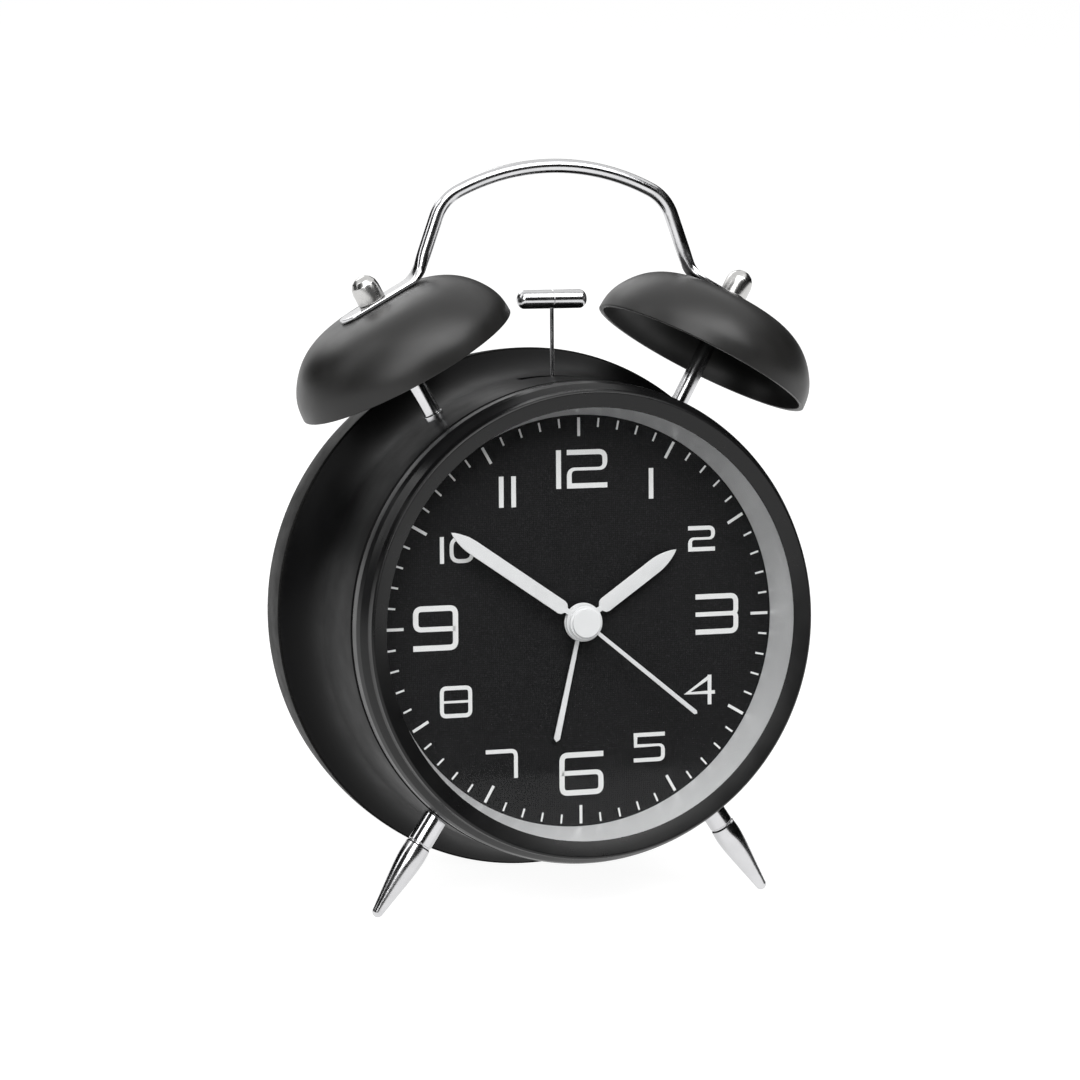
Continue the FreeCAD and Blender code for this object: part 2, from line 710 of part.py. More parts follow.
def movement_middle():
    half = MOVE_HALF - WALL
    plate = block(-half, half, MID_Y, MID_Y + MID_T, THIRD_AT[1] - 9.3, A_INTER + 5.2)
    tools = [rod(0, 0, MID_Y - 1, MID_Y + 3, CANNON_TUBE + RUN)]
    tools += [rod(x, z, MID_Y - 1, MID_Y + 3, SET_ARBOR + RUN) for x, z in (MINUTE_AT, ALARM_AT)]
    tools += [rod(x, z, MID_Y - 1, MID_Y + 3, PIVOT + RUN) for x, z in (THIRD_AT, INTER_AT, ROTOR_AT)]
    return cut(plate, tools)


def movement_rear():
    plate = block(-MOVE_HALF, MOVE_HALF, REAR_Y, REAR_Y + WALL, MOVE_BOTTOM, MOVE_TOP)
    tools = [rod(x, z, REAR_Y - 1, REAR_Y + 3, SMALL_SCREW_R + 0.2) for x, z in corner_posts()]
    tools += [rod(x, z, REAR_Y - 1, REAR_Y + 3, SET_ARBOR + RUN) for x, z in (MINUTE_AT, ALARM_AT)]
    pivots = (THIRD_AT, INTER_AT, ROTOR_AT, (0, 0))
    tools += [rod(x, z, REAR_Y - 1, REAR_Y + 0.9, PIVOT + RUN) for x, z in pivots]
    return cut(plate, tools)


def circuit_board():
    z0 = MOVE_BOTTOM + WALL + 0.3
    return block(-20, 20, REAR_Y - 1.0, REAR_Y, z0, z0 + 8.4)


def board_parts():
    z = MOVE_BOTTOM + WALL + 4.5
    chip = block(-9, -3, REAR_Y - 2.6, REAR_Y - 1.0, z - 2.5, z + 2.5)
    crystal = Part.makeCylinder(1.0, 6.0, V(3, REAR_Y - 2.0, z), V(1, 0, 0))
    return chip, crystal


def circuit_chip():
    return board_parts()[0]


def quartz_crystal():
    return board_parts()[1]


# ---------------------------------------------------------------- motor of the movement
STATOR_Y = 11.4
STATOR_T = 0.8
COIL_Z = A_INTER + 10.0


def stator():
    x, z = ROTOR_AT
    y0 = STATOR_Y
    y1 = STATOR_Y + STATOR_T
    ring = rod(x, z, y0, y1, 4.6)
    left = block(-19, x - 0.5, y0, y1, z + 3.1, z + 5.3)
    right = block(x + 0.5, 7, y0, y1, z + 3.1, z + 5.3)
    risers = [block(-19, -16.5, y0, y1, z + 3.1, COIL_Z + 1.1), block(4.5, 7, y0, y1, z + 3.1, COIL_Z + 1.1)]
    return fuse([ring, left, right] + risers).cut(rod(x, z, y0 - 1, y1 + 1, 3.1))


def coil_core():
    return block(-19, 7, STATOR_Y + STATOR_T, STATOR_Y + 2 * STATOR_T, COIL_Z - 1.0, COIL_Z + 1.0)


def coil():
    y = STATOR_Y + 1.5 * STATOR_T
    winding = Part.makeCylinder(2.1, 18.0, V(-15, y, COIL_Z), V(1, 0, 0))
    flanges = [Part.makeCylinder(2.4, 0.8, V(x, y, COIL_Z), V(1, 0, 0)) for x in (-15.8, 3.0)]
    return fuse([winding] + flanges).cut(coil_core())


def rotor():
    x, z = ROTOR_AT
    magnet = rod(x, z, STATOR_Y - 0.4, STATOR_Y + STATOR_T + 0.8, 2.6)
    arbor = rod(x, z, MID_Y + 0.2, REAR_Y + 0.7, PIVOT)
    pinion = spur(ROTOR_AT, 13.95, 14.95, ROTOR_LEAVES, M_ROTOR, 0, leaf=True)
    return fuse([magnet, arbor, pinion])


# ---------------------------------------------------------------- going train
def intermediate_wheel():
    wheel = spur(INTER_AT, 14.1, 14.8, INTER_TEETH, M_ROTOR, gap_facing(0, INTER_TEETH))
    pinion = spur(INTER_AT, 12.6, 13.8, TRAIN_LEAVES, M_INTER, -90, leaf=True)
    neck = rod(INTER_AT[0], INTER_AT[1], 13.6, 14.2, 1.2)
    arbor = rod(INTER_AT[0], INTER_AT[1], MID_Y + 0.2, REAR_Y + 0.7, PIVOT)
    return fuse([wheel, pinion, neck, arbor])


def second_wheel():
    wheel = spur((0, 0), 12.8, 13.6, SECOND_TEETH, M_INTER, gap_facing(-90, SECOND_TEETH))
    pinion = spur((0, 0), 11.25, 12.85, TRAIN_LEAVES, M_THIRD, -90, leaf=True)
    arbor = rod(0, 0, SECOND_HAND[0] - 0.4, REAR_Y + 0.7, SECOND_ARBOR)
    return fuse([wheel, pinion, arbor])


def third_wheel():
    wheel = spur(THIRD_AT, 11.4, 12.2, THIRD_TEETH, M_THIRD, gap_facing(-90, THIRD_TEETH))
    pinion = spur(THIRD_AT, 9.9, 11.45, TRAIN_LEAVES, M_CENTRE, 90, leaf=True)
    arbor = rod(THIRD_AT[0], THIRD_AT[1], MID_Y + 0.2, REAR_Y + 0.7, PIVOT)
    return fuse([wheel, pinion, arbor])


def centre_wheel():
    wheel = spur((0, 0), 10.0, 10.8, CENTRE_TEETH, M_CENTRE, gap_facing(90, CENTRE_TEETH))
    arbor = rod(0, 0, 4.0, 10.9, CENTRE_TUBE)
    return fuse([wheel, arbor]).cut(rod(0, 0, 0, 20, SECOND_ARBOR + RUN))


def cannon_pinion():
    pinion = spur((0, 0), 6.8, 8.2, CANNON_LEAVES, M_MINUTE, 180, leaf=True)
    sleeve = rod(0, 0, MINUTE_HAND[0], 9.7, CANNON_TUBE)
    bore = rod(0, 0, 4.0, 12, CENTRE_TUBE)
    front_bore = rod(0, 0, -9, 4.0, SECOND_ARBOR + RUN)
    return cut(fuse([pinion, sleeve]), [bore, front_bore])


def minute_wheel():
    wheel = spur(MINUTE_AT, 6.9, 7.9, MINUTE_TEETH, M_MINUTE, gap_facing(180, MINUTE_TEETH))
    pinion = spur(MINUTE_AT, 5.2, 6.95, MINUTE_LEAVES, M_HOUR, 0, leaf=True)
    arbor = rod(MINUTE_AT[0], MINUTE_AT[1], PLATE_Y + 1.0, COVER_REAR + 4.4, SET_ARBOR)
    return fuse([wheel, pinion, arbor])


def hour_wheel():
    wheel = spur((0, 0), 5.4, 6.4, HOUR_TEETH, M_HOUR, gap_facing(0, HOUR_TEETH))
    sleeve = rod(0, 0, HOUR_HAND[0], 6.4, HOUR_TUBE)
    return fuse([wheel, sleeve]).cut(rod(0, 0, -9, 9, CANNON_TUBE + RUN))


def alarm_wheel():
    wheel = spur((0, 0), 3.95, 4.85, ALARM_TEETH, M_ALARM, gap_facing(180, ALARM_TEETH))
    sleeve = rod(0, 0, ALARM_HAND[0], 4.85, ALARM_TUBE)
    return fuse([wheel, sleeve]).cut(rod(0, 0, -9, 9, HOUR_TUBE + RUN))


def alarm_arbor():
    pinion = spur(ALARM_AT, 3.85, 4.95, ALARM_LEAVES, M_ALARM, 180, leaf=True)
    arbor = rod(ALARM_AT[0], ALARM_AT[1], PLATE_Y + 1.0, COVER_REAR + 4.4, SET_ARBOR)
    return fuse([pinion, arbor])


def alarm_contact():
    foot = block(18, 23, PLATE_Y + WALL, PLATE_Y + WALL + 1.5, -16, -12)
    leaf = block(8, 22, PLATE_Y + WALL + 1.5, PLATE_Y + WALL + 1.8, -15.5, -12.5)
    return fuse([foot, leaf])


# ---------------------------------------------------------------- striker
def striker_bracket():
    y1 = BRACKET_Y + BRACKET_T
    plate = block(-21, 21, BRACKET_Y, y1, CRANK_Z - 5.5, STANDOFF_Z + 4)
    tools = [rod(x, z, BRACKET_Y - 1, y1 + 1, SMALL_SCREW_R + 0.2) for x, z in standoffs()]
    tools += [rod(0, z, BRACKET_Y - 1, y1 + 1, PIN_R) for z in (ROCKER_Z, CRANK_Z)]
    tools += [rod(MOTOR_AT[0], MOTOR_AT[1], BRACKET_Y - 1, y1 + 1, 3.0)]
    tools += [block(-22, -14, BRACKET_Y - 1, y1 + 1, CRANK_Z - 7, STANDOFF_Z - 5)]
    return cut(plate, tools)


def small_screws():
    """Six alike: four close the movement and two hold the striker's bracket."""
    seats = [(at, REAR_Y + WALL) for at in corner_posts()]
    seats += [(at, BRACKET_Y + BRACKET_T) for at in standoffs()]
    return Part.makeCompound([screw(at, y, 1.9, 1.1, SMALL_SCREW_R, 7.0) for at, y in seats])


def striker_pins():
    """The hammer's hinge pin and the crank's axle, both riveted in the bracket."""
    rear = BRACKET_Y + BRACKET_T
    hinge = rod(0, ROCKER_Z, HAMMER_Y - ROCKER_T / 2 - 1.4, rear, PIN_R)
    axle = rod(0, CRANK_Z, BRACKET_Y - 2.2, rear, PIN_R)
    return Part.makeCompound([hinge, axle])


def hammer_rocker():
    y0 = HAMMER_Y - ROCKER_T / 2
    y1 = HAMMER_Y + ROCKER_T / 2
    hub = rod(0, ROCKER_Z, y0, y1, 2.8)
    socket = block(-1.4, 1.4, y0, y1, ROCKER_Z + 1.5, ROCKER_Z + 7)
    arm = block(-1.3, 1.3, y0, y1, ROCKER_Z - 5.5, ROCKER_Z - 1.5)
    bridge = block(-FORK_GAP - 1.2, FORK_GAP + 1.2, y0, y1, ROCKER_Z - 6, ROCKER_Z - 4.4)
    prongs = [
        block(s * FORK_GAP - (1.2 if s < 0 else 0), s * FORK_GAP + (1.2 if s > 0 else 0), y0, y1,
              CRANK_Z - 1.6, ROCKER_Z - 4.4)
        for s in (-1, 1)
    ]
    bore = rod(0, ROCKER_Z, y0 - 1, y1 + 1, PIN_R + RUN)
    stem_hole = Part.makeCylinder(STEM_R, 8, V(0, HAMMER_Y, ROCKER_Z + 3.2), V(0, 0, 1))
    return cut(fuse([hub, socket, arm, bridge] + prongs), [bore, stem_hole])


def hammer_stem():
    bottom = ROCKER_Z + 3.2
    return Part.makeCylinder(STEM_R, HEAD_Z - bottom, V(0, HAMMER_Y, bottom), V(0, 0, 1))


def hammer_head():
    flat = HEAD_LEN - 2 * HEAD_R
    barrel = Part.makeCylinder(HEAD_R, flat, V(-flat / 2, HAMMER_Y, HEAD_Z), V(1, 0, 0))
    ends = [Part.makeSphere(HEAD_R, V(s * flat / 2, HAMMER_Y, HEAD_Z)) for s in (-1, 1)]
    hole = Part.makeCylinder(STEM_R, HEAD_R + 1, V(0, HAMMER_Y, HEAD_Z - HEAD_R - 1), V(0, 0, 1))
    return fuse([barrel] + ends).cut(hole)


def crank_gear():
    y0 = BRACKET_Y - 2.8
    wheel = spur((0, CRANK_Z), y0, y0 + 2.0, CRANK_TEETH, M_CRANK, gap_facing(180, CRANK_TEETH))
    pin = rod(0, CRANK_Z + CRANK_THROW, HAMMER_Y - 1.4, y0, 0.75)
    return fuse([wheel, pin]).cut(rod(0, CRANK_Z, BRACKET_Y - 2.3, BRACKET_Y, PIN_R + RUN))


def motor_pinion():
    x, z = MOTOR_AT
    y0 = BRACKET_Y - 2.9
    pinion = spur(MOTOR_AT, y0, y0 + 2.2, MOTOR_LEAVES, M_CRANK, 180, leaf=True)
    return fuse([pinion, rod(x, z, y0, BRACKET_Y + BRACKET_T + 3.0, 0.75)])


def striker_motor():
    x, z = MOTOR_AT
    y0 = BRACKET_Y + BRACKET_T
    can = rod(x, z, y0, y0 + MOTOR_LEN, MOTOR_R)
    bearing = rod(x, z, y0 + MOTOR_LEN, y0 + MOTOR_LEN + 1.2, 2.2)
    return fuse([can, bearing]).cut(rod(x, z, y0 - 1, y0 + 3.2, 0.75 + RUN))


def motor_leads():
    """Two wires from the back of the motor down to the movement."""
    x, z = MOTOR_AT
    start = BRACKET_Y + BRACKET_T + MOTOR_LEN
    out = start + 1.6
    end = REAR_Y + WALL
    first = [(x + 4.5, start, z), (x + 4.5, out, z), (x + 9.5, out, z - 6)]
    first += [(x + 9.5, 24, 8), (x + 9.5, end, 8)]
    second = [(x + 4.5, start, z + 3), (x + 4.5, out, z + 3), (x + 12, out, z - 3)]
    second += [(x + 12, 24, 11), (x + 12, end, 11)]
    return [wire(first, LEAD_R), wire(second, LEAD_R)]


# ---------------------------------------------------------------- battery bay
def battery_tray():
    half_x = TRAY_HALF_X + TRAY_WALL
    half_z = TRAY_HALF_Z + TRAY_WALL
    outer = block(-half_x, half_x, TRAY_FLOOR, COVER_Y, TRAY_MID_Z - half_z, TRAY_MID_Z + half_z)
    inner = block(
        -TRAY_HALF_X, TRAY_HALF_X, TRAY_FLOOR + TRAY_WALL, COVER_Y + 1,
        TRAY_MID_Z - TRAY_HALF_Z, TRAY_MID_Z + TRAY_HALF_Z
    )
    rib_half = CELL_PITCH / 2 - CELL_R - SEAM
    rib_x = CELL_LEN / 2
    rib = block(-rib_x, rib_x, TRAY_FLOOR, CELL_Y + 1, TRAY_MID_Z - rib_half, TRAY_MID_Z + rib_half)
    return fuse([outer.cut(inner), rib])


def battery_cells():
    cells = []
    for z, side in zip(CELL_ZS, (1, -1)):
        half = CELL_LEN / 2
        can = Part.makeCylinder(CELL_R, CELL_LEN, V(-half, CELL_Y, z), V(1, 0, 0))
        nub = Part.makeCylinder(2.6, 1.0, V(side * half, CELL_Y, z), V(side, 0, 0))
        cells.append(fuse([can, nub]))
    return Part.makeCompound(cells)


def battery_contacts():
    plates = []
    for z, side in zip(CELL_ZS, (1, -1)):
        inner = CONTACT_X - CONTACT_T
        for s in (side, -side):
            x0 = inner if s > 0 else -CONTACT_X
            plates.append(block(x0, x0 + CONTACT_T, TRAY_FLOOR + TRAY_WALL, CELL_Y + 5, z - 5, z + 5))
        nub_end = CELL_LEN / 2 + 1.0
        boss = Part.makeCylinder(3.0, inner - nub_end, V(side * nub_end, CELL_Y, z), V(side, 0, 0))
        plates[-2] = fuse([plates[-2], boss])
    return Part.makeCompound(plates)


def battery_springs():
    """Three-turn spring between each cell's flat end and its contact plate."""
    first = CELL_LEN / 2 + SPRING_WIRE_R
    rise = CONTACT_X - CONTACT_T - SPRING_WIRE_R - first
    steps = 36
    springs = []
    for z, side in zip(CELL_ZS, (-1, 1)):
        points = []
        for k in range(steps + 1):
            a = 3 * 2 * math.pi * k / steps
            across = SPRING_R * math.cos(a)
            up = SPRING_R * math.sin(a)
            points.append(V(side * (first + rise * k / steps), CELL_Y + across, z + up))
        line = Part.BSplineCurve()
        line.interpolate(points)
        along = line.tangent(line.FirstParameter)[0]
        ring = Part.Wire(Part.Circle(points[0], along, SPRING_WIRE_R).toShape())
        springs.append(Part.Wire(line.toShape()).makePipeShell([ring], True, False))
    return Part.makeCompound(springs)


def battery_leads():
    z = TRAY_MID_Z
    run = [(20, TRAY_FLOOR, z), (20, TRAY_FLOOR - 3, z), (15, TRAY_FLOOR - 6, z + 2)]
    run.append((15, REAR_Y + WALL, z + 2))
    lead = wire(run, LEAD_R)
    return [lead, mirrored(lead)]


def leads():
    return Part.makeCompound(motor_leads() + battery_leads())


def battery_door():
    half_x = TRAY_HALF_X + DOOR_LAP - GAP
    half_z = TRAY_HALF_Z + DOOR_LAP - GAP
    front = COVER_Y + GAP
    lid = block(-half_x, half_x, front, COVER_REAR, TRAY_MID_Z - half_z, TRAY_MID_Z + half_z)
    top = TRAY_MID_Z + half_z
    low = [top - 3.0 - 1.6 * k for k in range(3)]
    ribs = [block(-7, 7, COVER_REAR - 0.1, COVER_REAR + 0.5, z, z + 0.8) for z in low]
    return fuse([lid] + ribs)


# ---------------------------------------------------------------- rear controls
def knob(at):
    x, z = at
    y0 = COVER_REAR + 0.5
    body = rod(x, z, y0, y0 + KNOB_T, KNOB_R)
    flutes = []
    count = 18
    for k in range(count):
        a = 2 * math.pi * k / count
        reach = KNOB_R + 0.35
        flutes.append(rod(x + reach * math.cos(a), z + reach * math.sin(a), y0 - 1, y0 + KNOB_T + 1, 0.8))
    dish = rod(x, z, y0 + KNOB_T - 0.8, y0 + KNOB_T + 1, KNOB_R - 1.8)
    return cut(body, flutes + [dish, rod(x, z, y0 - 1, COVER_REAR + 4.4, SET_ARBOR)])


def time_knob():
    return knob(MINUTE_AT)


def alarm_knob():
    return knob(ALARM_AT)


def alarm_switch():
    stem = block(-2, 2, COVER_Y - GAP - 0.2, COVER_REAR + 0.6, SWITCH_Z - 1.2, SWITCH_Z + 1.2)
    thumb = block(-3.4, 3.4, COVER_REAR + GAP, COVER_REAR + 2.4, SWITCH_Z - 2.6, SWITCH_Z + 2.6)
    ridge = block(-0.5, 0.5, COVER_REAR + 2.3, COVER_REAR + 3.0, SWITCH_Z - 2.6, SWITCH_Z + 2.6)
    flange = block(-4, 4, COVER_Y - GAP - 1.2, COVER_Y - GAP, SWITCH_Z - 3.4, SWITCH_Z + 3.4)
    return fuse([stem, thumb, ridge, flange])


# ---------------------------------------------------------------- stance and export
def lean_angle():
    """Lean that puts the leg tips and the rear rim on one level, degrees."""
    a = math.radians(LEG_LEAN)
    tip_reach = LEG_LEN - LEG_TIP_R
    tip_z = -LEG_Z + tip_reach * math.cos(a)
    rim_z = BAND_REAR_R - 0.5
    rim_y = CASE_REAR - 0.5
    run = rim_y - LEG_Y
    rise = tip_z - rim_z
    span = math.hypot(run, rise)
    return math.degrees(math.atan2(rise, run) + math.asin((LEG_TIP_R - 0.5) / span))


BUILDERS = {
    "case_drum": case_drum,
    "front_bezel": front_bezel,
    "lens": lens,
    "reflector_ring": reflector_ring,
    "dial_plate": dial_plate,
    "dial_carrier": dial_carrier,
    "back_cover": back_cover,
    "cover_screws": cover_screws,
    "bell_right": lambda: on_post(bell()),
    "bell_left": lambda: mirrored(on_post(bell())),
    "bell_posts": lambda: pair(post()),
    "bell_washers": lambda: pair(bell_washer()),
    "cap_nuts": lambda: pair(cap_nut()),
    "handle": handle,
    "legs": lambda: pair(leg()),
    "drum_nuts": drum_nuts,
    "alarm_hand": alarm_hand,
    "hour_hand": hour_hand,
    "minute_hand": minute_hand,
    "second_hand": second_hand,
    "hub_cap": hub_cap,
    "movement_front": movement_front,
    "movement_middle": movement_middle,
    "movement_rear": movement_rear,
    "circuit_board": circuit_board,
    "circuit_chip": circuit_chip,
    "quartz_crystal": quartz_crystal,
    "small_screws": small_screws,
    "stator": stator,
    "coil_core": coil_core,
    "coil": coil,
    "rotor": rotor,
    "intermediate_wheel": intermediate_wheel,
    "second_wheel": second_wheel,
    "third_wheel": third_wheel,
    "centre_wheel": centre_wheel,
    "cannon_pinion": cannon_pinion,
    "minute_wheel": minute_wheel,
    "hour_wheel": hour_wheel,
    "alarm_wheel": alarm_wheel,
    "alarm_arbor": alarm_arbor,
    "alarm_contact": alarm_contact,
    "striker_bracket": striker_bracket,
    "striker_pins": striker_pins,
    "hammer_rocker": hammer_rocker,
    "hammer_stem": hammer_stem,
    "hammer_head": hammer_head,
    "crank_gear": crank_gear,
    "motor_pinion": motor_pinion,
    "striker_motor": striker_motor,
    "leads": leads,
    "battery_tray": battery_tray,
    "battery_cells": battery_cells,
    "battery_contacts": battery_contacts,
    "battery_springs": battery_springs,
    "battery_door": battery_door,
    "time_knob": time_knob,
    "alarm_knob": alarm_knob,
    "alarm_switch": alarm_switch,
}


def leaned_box(shapes):
    box = FreeCAD.BoundBox()
    for shape in shapes:
        box.add(shape.optimalBoundingBox(False))
    return box


def export_all():
    shapes = {name: make() for name, make in BUILDERS.items()}
    lean = lean_angle()
    for shape in shapes.values():
        shape.rotate(V(0, 0, 0), V(1, 0, 0), -lean)
    outermost = ("legs", "front_bezel", "back_cover", "handle", "alarm_knob")
    box = leaned_box([shapes[n] for n in outermost])
    shift = V(0, -(box.YMin + box.YMax) / 2, -box.ZMin)
    print("lean", lean, "shift", shift.y, shift.z)
    for name, shape in shapes.items():
        shape.translate(shift)
        shape.exportStep("parts/" + name + ".step")
        solids = len(shape.Solids)
        print(name, solids, round(shape.Volume, 2), shape.isValid())


export_all()
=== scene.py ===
# %% [markdown]
# # A twin-bell alarm clock
# A black drum stands on two splayed chrome legs. It carries two bells on posts, a
# chrome handle that ties them together, and a small hammer between them. The first
# step loads the finished construction model. Every visible piece made here sits
# where that model says, and rides on one of its bodies.

# %% Load the frame
import json
import math
import bpy
import bmesh
from mathutils import Matrix, Vector


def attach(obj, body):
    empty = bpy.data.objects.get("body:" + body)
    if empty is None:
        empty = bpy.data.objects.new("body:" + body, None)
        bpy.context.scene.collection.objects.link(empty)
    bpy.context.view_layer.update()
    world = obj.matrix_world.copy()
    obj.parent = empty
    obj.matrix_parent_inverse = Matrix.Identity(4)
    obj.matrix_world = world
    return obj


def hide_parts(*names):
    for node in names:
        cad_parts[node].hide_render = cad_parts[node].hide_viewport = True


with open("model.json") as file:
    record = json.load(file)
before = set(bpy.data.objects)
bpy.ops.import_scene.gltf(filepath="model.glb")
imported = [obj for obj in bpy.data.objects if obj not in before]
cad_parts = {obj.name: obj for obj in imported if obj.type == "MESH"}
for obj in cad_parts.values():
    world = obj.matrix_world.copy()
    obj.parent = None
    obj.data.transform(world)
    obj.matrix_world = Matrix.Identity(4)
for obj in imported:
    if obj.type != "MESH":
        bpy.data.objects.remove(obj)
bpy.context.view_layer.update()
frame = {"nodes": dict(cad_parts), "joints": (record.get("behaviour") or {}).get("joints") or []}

# %% [markdown]
# ## The clock's own axes
# The clock leans back, so its dial isn't upright. It is far easier to draw each
# piece square to the dial and lean the lot once. The second hand's axle gives the
# middle of the dial and the direction straight through the clock, so the matrix
# CLOCK carries drawing coordinates to the world: x to the right, y from the glass
# to the back, z up the dial. Sizes are in millimetres and MM turns them to metres.

# %% Clock axes
MM = 0.001
axle = next(j for j in frame["joints"] if j["name"] == "second_turn")
right = Vector((1.0, 0.0, 0.0))
rearward = Vector(axle["axis"]).normalized()
CLOCK = Matrix((right, rearward, right.cross(rearward))).transposed().to_4x4()
CLOCK.translation = Vector(axle["pos_m"])
TO_CLOCK = CLOCK.inverted()


def reach(node):
    """Lowest and highest corner of a construction node along the clock's axes, in mm."""
    spots = [TO_CLOCK @ v.co / MM for v in frame["nodes"][node].data.vertices]
    low = Vector([min(p[k] for p in spots) for k in range(3)])
    high = Vector([max(p[k] for p in spots) for k in range(3)])
    return low, high


drum_low, drum_high = reach("case_drum")
print("drum radius %.1f mm, depth %.1f mm" % (drum_high.x, drum_high.y - drum_low.y))

# %% [markdown]
# ## The sizes that the pieces share
# The outline radii come from the construction model. The small steps between parts
# are the maker's own numbers, written once here, and each wall thickness is written with its piece.

# %% Shared sizes
bezel_low, bezel_high = reach("front_bezel")
lens_low, lens_high = reach("lens")
reflector_low = reach("reflector_ring")[0]
cover_low, cover_high = reach("back_cover")
bezel_r = bezel_high.x
neck_r = bezel_r + 0.2
flare_r = drum_high.x
lens_front = lens_low.y
lens_back = lens_high.y
bore_r = lens_high.x + 0.05
print("bezel %.2f, bore %.2f, lens %.2f to %.2f" % (bezel_r, bore_r, lens_front, lens_back))

# %% [markdown]
# ## The camera
# The clock is seen from its left and a little above, from about ninety centimetres
# with a long lens, so that the far side hardly shrinks. The camera is placed in the
# clock's own axes and carried to the world with the rest. `linked` puts any new
# thing into the scene, and the camera is the first.

# %% Camera
CAMERA_AT = (-311.5, -819.4, 95.5)
CAMERA_AZIMUTH = math.radians(20.25)
CAMERA_RISE = math.radians(5.05)
CAMERA_ROLL = math.radians(-0.39)
CAMERA_LENS = 133.33
CAMERA_SENSOR = 36.0


def linked(name, data):
    """A new object in the scene that holds this data."""
    obj = bpy.data.objects.new(name, data)
    bpy.context.scene.collection.objects.link(obj)
    return obj


def add_camera():
    level = math.cos(CAMERA_RISE)
    to_side = math.sin(CAMERA_AZIMUTH) * level
    ahead = math.cos(CAMERA_AZIMUTH) * level
    forward = Vector((to_side, ahead, -math.sin(CAMERA_RISE)))
    side = forward.cross(Vector((0, 0, 1))).normalized()
    above = side.cross(forward)
    across = math.cos(CAMERA_ROLL) * side + math.sin(CAMERA_ROLL) * above
    upward = math.cos(CAMERA_ROLL) * above - math.sin(CAMERA_ROLL) * side
    facing = Matrix((across, upward, -forward)).transposed().to_4x4()
    facing.translation = Vector(CAMERA_AT) * MM
    data = bpy.data.cameras.new("camera")
    data.lens = CAMERA_LENS
    data.sensor_width = CAMERA_SENSOR
    camera = linked("camera", data)
    camera.matrix_world = CLOCK @ facing
    bpy.context.scene.camera = camera
    return camera


camera = add_camera()
print("camera stands at", [round(c, 3) for c in camera.matrix_world.translation])

# %% [markdown]
# ## Node helpers for the finishes
# Every finish starts as one Principled shader. Real detail comes from noise at a
# real size: the helpers below take a feature size in millimetres and a depth in
# millimetres, so a grain of 0.3 mm is written as 0.3. The texture is laid in the
# piece's own coordinates, which means that it turns with a hand or a knob. FINISHES
# keeps each finish under the name of the slot that it fills.

# %% Node helpers
FINISHES = {}


def start(name, colour, roughness, metallic=0.0, specular=0.5):
    material = bpy.data.materials.new(name)
    material.use_nodes = True
    shader = material.node_tree.nodes["Principled BSDF"]
    shader.inputs["Base Color"].default_value = (*colour, 1.0)
    shader.inputs["Roughness"].default_value = roughness
    shader.inputs["Metallic"].default_value = metallic
    shader.inputs["Specular IOR Level"].default_value = specular
    return material


def shader_of(material):
    return material.node_tree.nodes["Principled BSDF"]


def add(material, kind, **settings):
    node = material.node_tree.nodes.new(kind)
    for key, value in settings.items():
        setattr(node, key, value)
    return node


def join(material, output, socket):
    material.node_tree.links.new(output, socket)


def feed(material, name, output):
    """Let a node's output drive one input of the finish."""
    join(material, output, shader_of(material).inputs[name])


def grain(material, size, detail, stretch=(1.0, 1.0, 1.0)):
    """Noise whose features are about size mm across, stretched along the piece's axes."""
    where = add(material, "ShaderNodeTexCoord")
    shape = add(material, "ShaderNodeMapping")
    shape.inputs["Scale"].default_value = [1.0 / s for s in stretch]
    noise = add(material, "ShaderNodeTexNoise")
    noise.inputs["Scale"].default_value = 1.0 / (size * MM)
    noise.inputs["Detail"].default_value = detail
    noise.inputs["Roughness"].default_value = 0.5
    join(material, where.outputs["Object"], shape.inputs["Vector"])
    join(material, shape.outputs["Vector"], noise.inputs["Vector"])
    return noise.outputs["Fac"]


def spread(material, value, low, high, start_at=0.3, end_at=0.7):
    """Turn a noise value into a range of some setting."""
    ramp = add(material, "ShaderNodeMapRange")
    ramp.inputs["From Min"].default_value = start_at
    ramp.inputs["From Max"].default_value = end_at
    ramp.inputs["To Min"].default_value = low
    ramp.inputs["To Max"].default_value = high
    join(material, value, ramp.inputs["Value"])
    return ramp.outputs["Result"]


def blend(material, share, first, second):
    """A colour between two colours, or between a colour and another node's colour."""
    mix = add(material, "ShaderNodeMix", data_type="RGBA")
    join(material, share, mix.inputs["Factor"])
    for socket, colour in ((mix.inputs["A"], first), (mix.inputs["B"], second)):
        if isinstance(colour, tuple):
            socket.default_value = (*colour, 1.0)
        else:
            join(material, colour, socket)
    return mix.outputs["Result"]


def emboss(material, height, depth, below=None):
    """Bump of depth mm, on top of an earlier bump where there is one."""
    bump = add(material, "ShaderNodeBump")
    bump.inputs["Distance"].default_value = depth * MM
    join(material, height, bump.inputs["Height"])
    if below is not None:
        join(material, below, bump.inputs["Normal"])
    return bump.outputs["Normal"]


def edge_share(material):
    """How far a spot stands proud of its surroundings, for wear along edges."""
    geometry = add(material, "ShaderNodeNewGeometry")
    return spread(material, geometry.outputs["Pointiness"], 0.0, 1.0, 0.53, 0.62)


def maths(tree, operation, first, second):
    """One sum of two values, each a plain number or another node's output."""
    node = tree.nodes.new("ShaderNodeMath")
    node.operation = operation
    for socket, value in zip(node.inputs, (first, second)):
        if isinstance(value, float):
            socket.default_value = value
        else:
            tree.links.new(value, socket)
    return node.outputs["Value"]


print("node helpers ready")

# %% [markdown]
# ## Paints and coatings
# The drum and the bezel are sprayed steel: a satin black with a faint orange-peel
# surface, slightly uneven in gloss, and rubbed a little lighter where an edge is
# handled. The bells have a drier charcoal coat with a fine tooth. One function
# makes all three, because they differ only in colour, gloss and grain size.

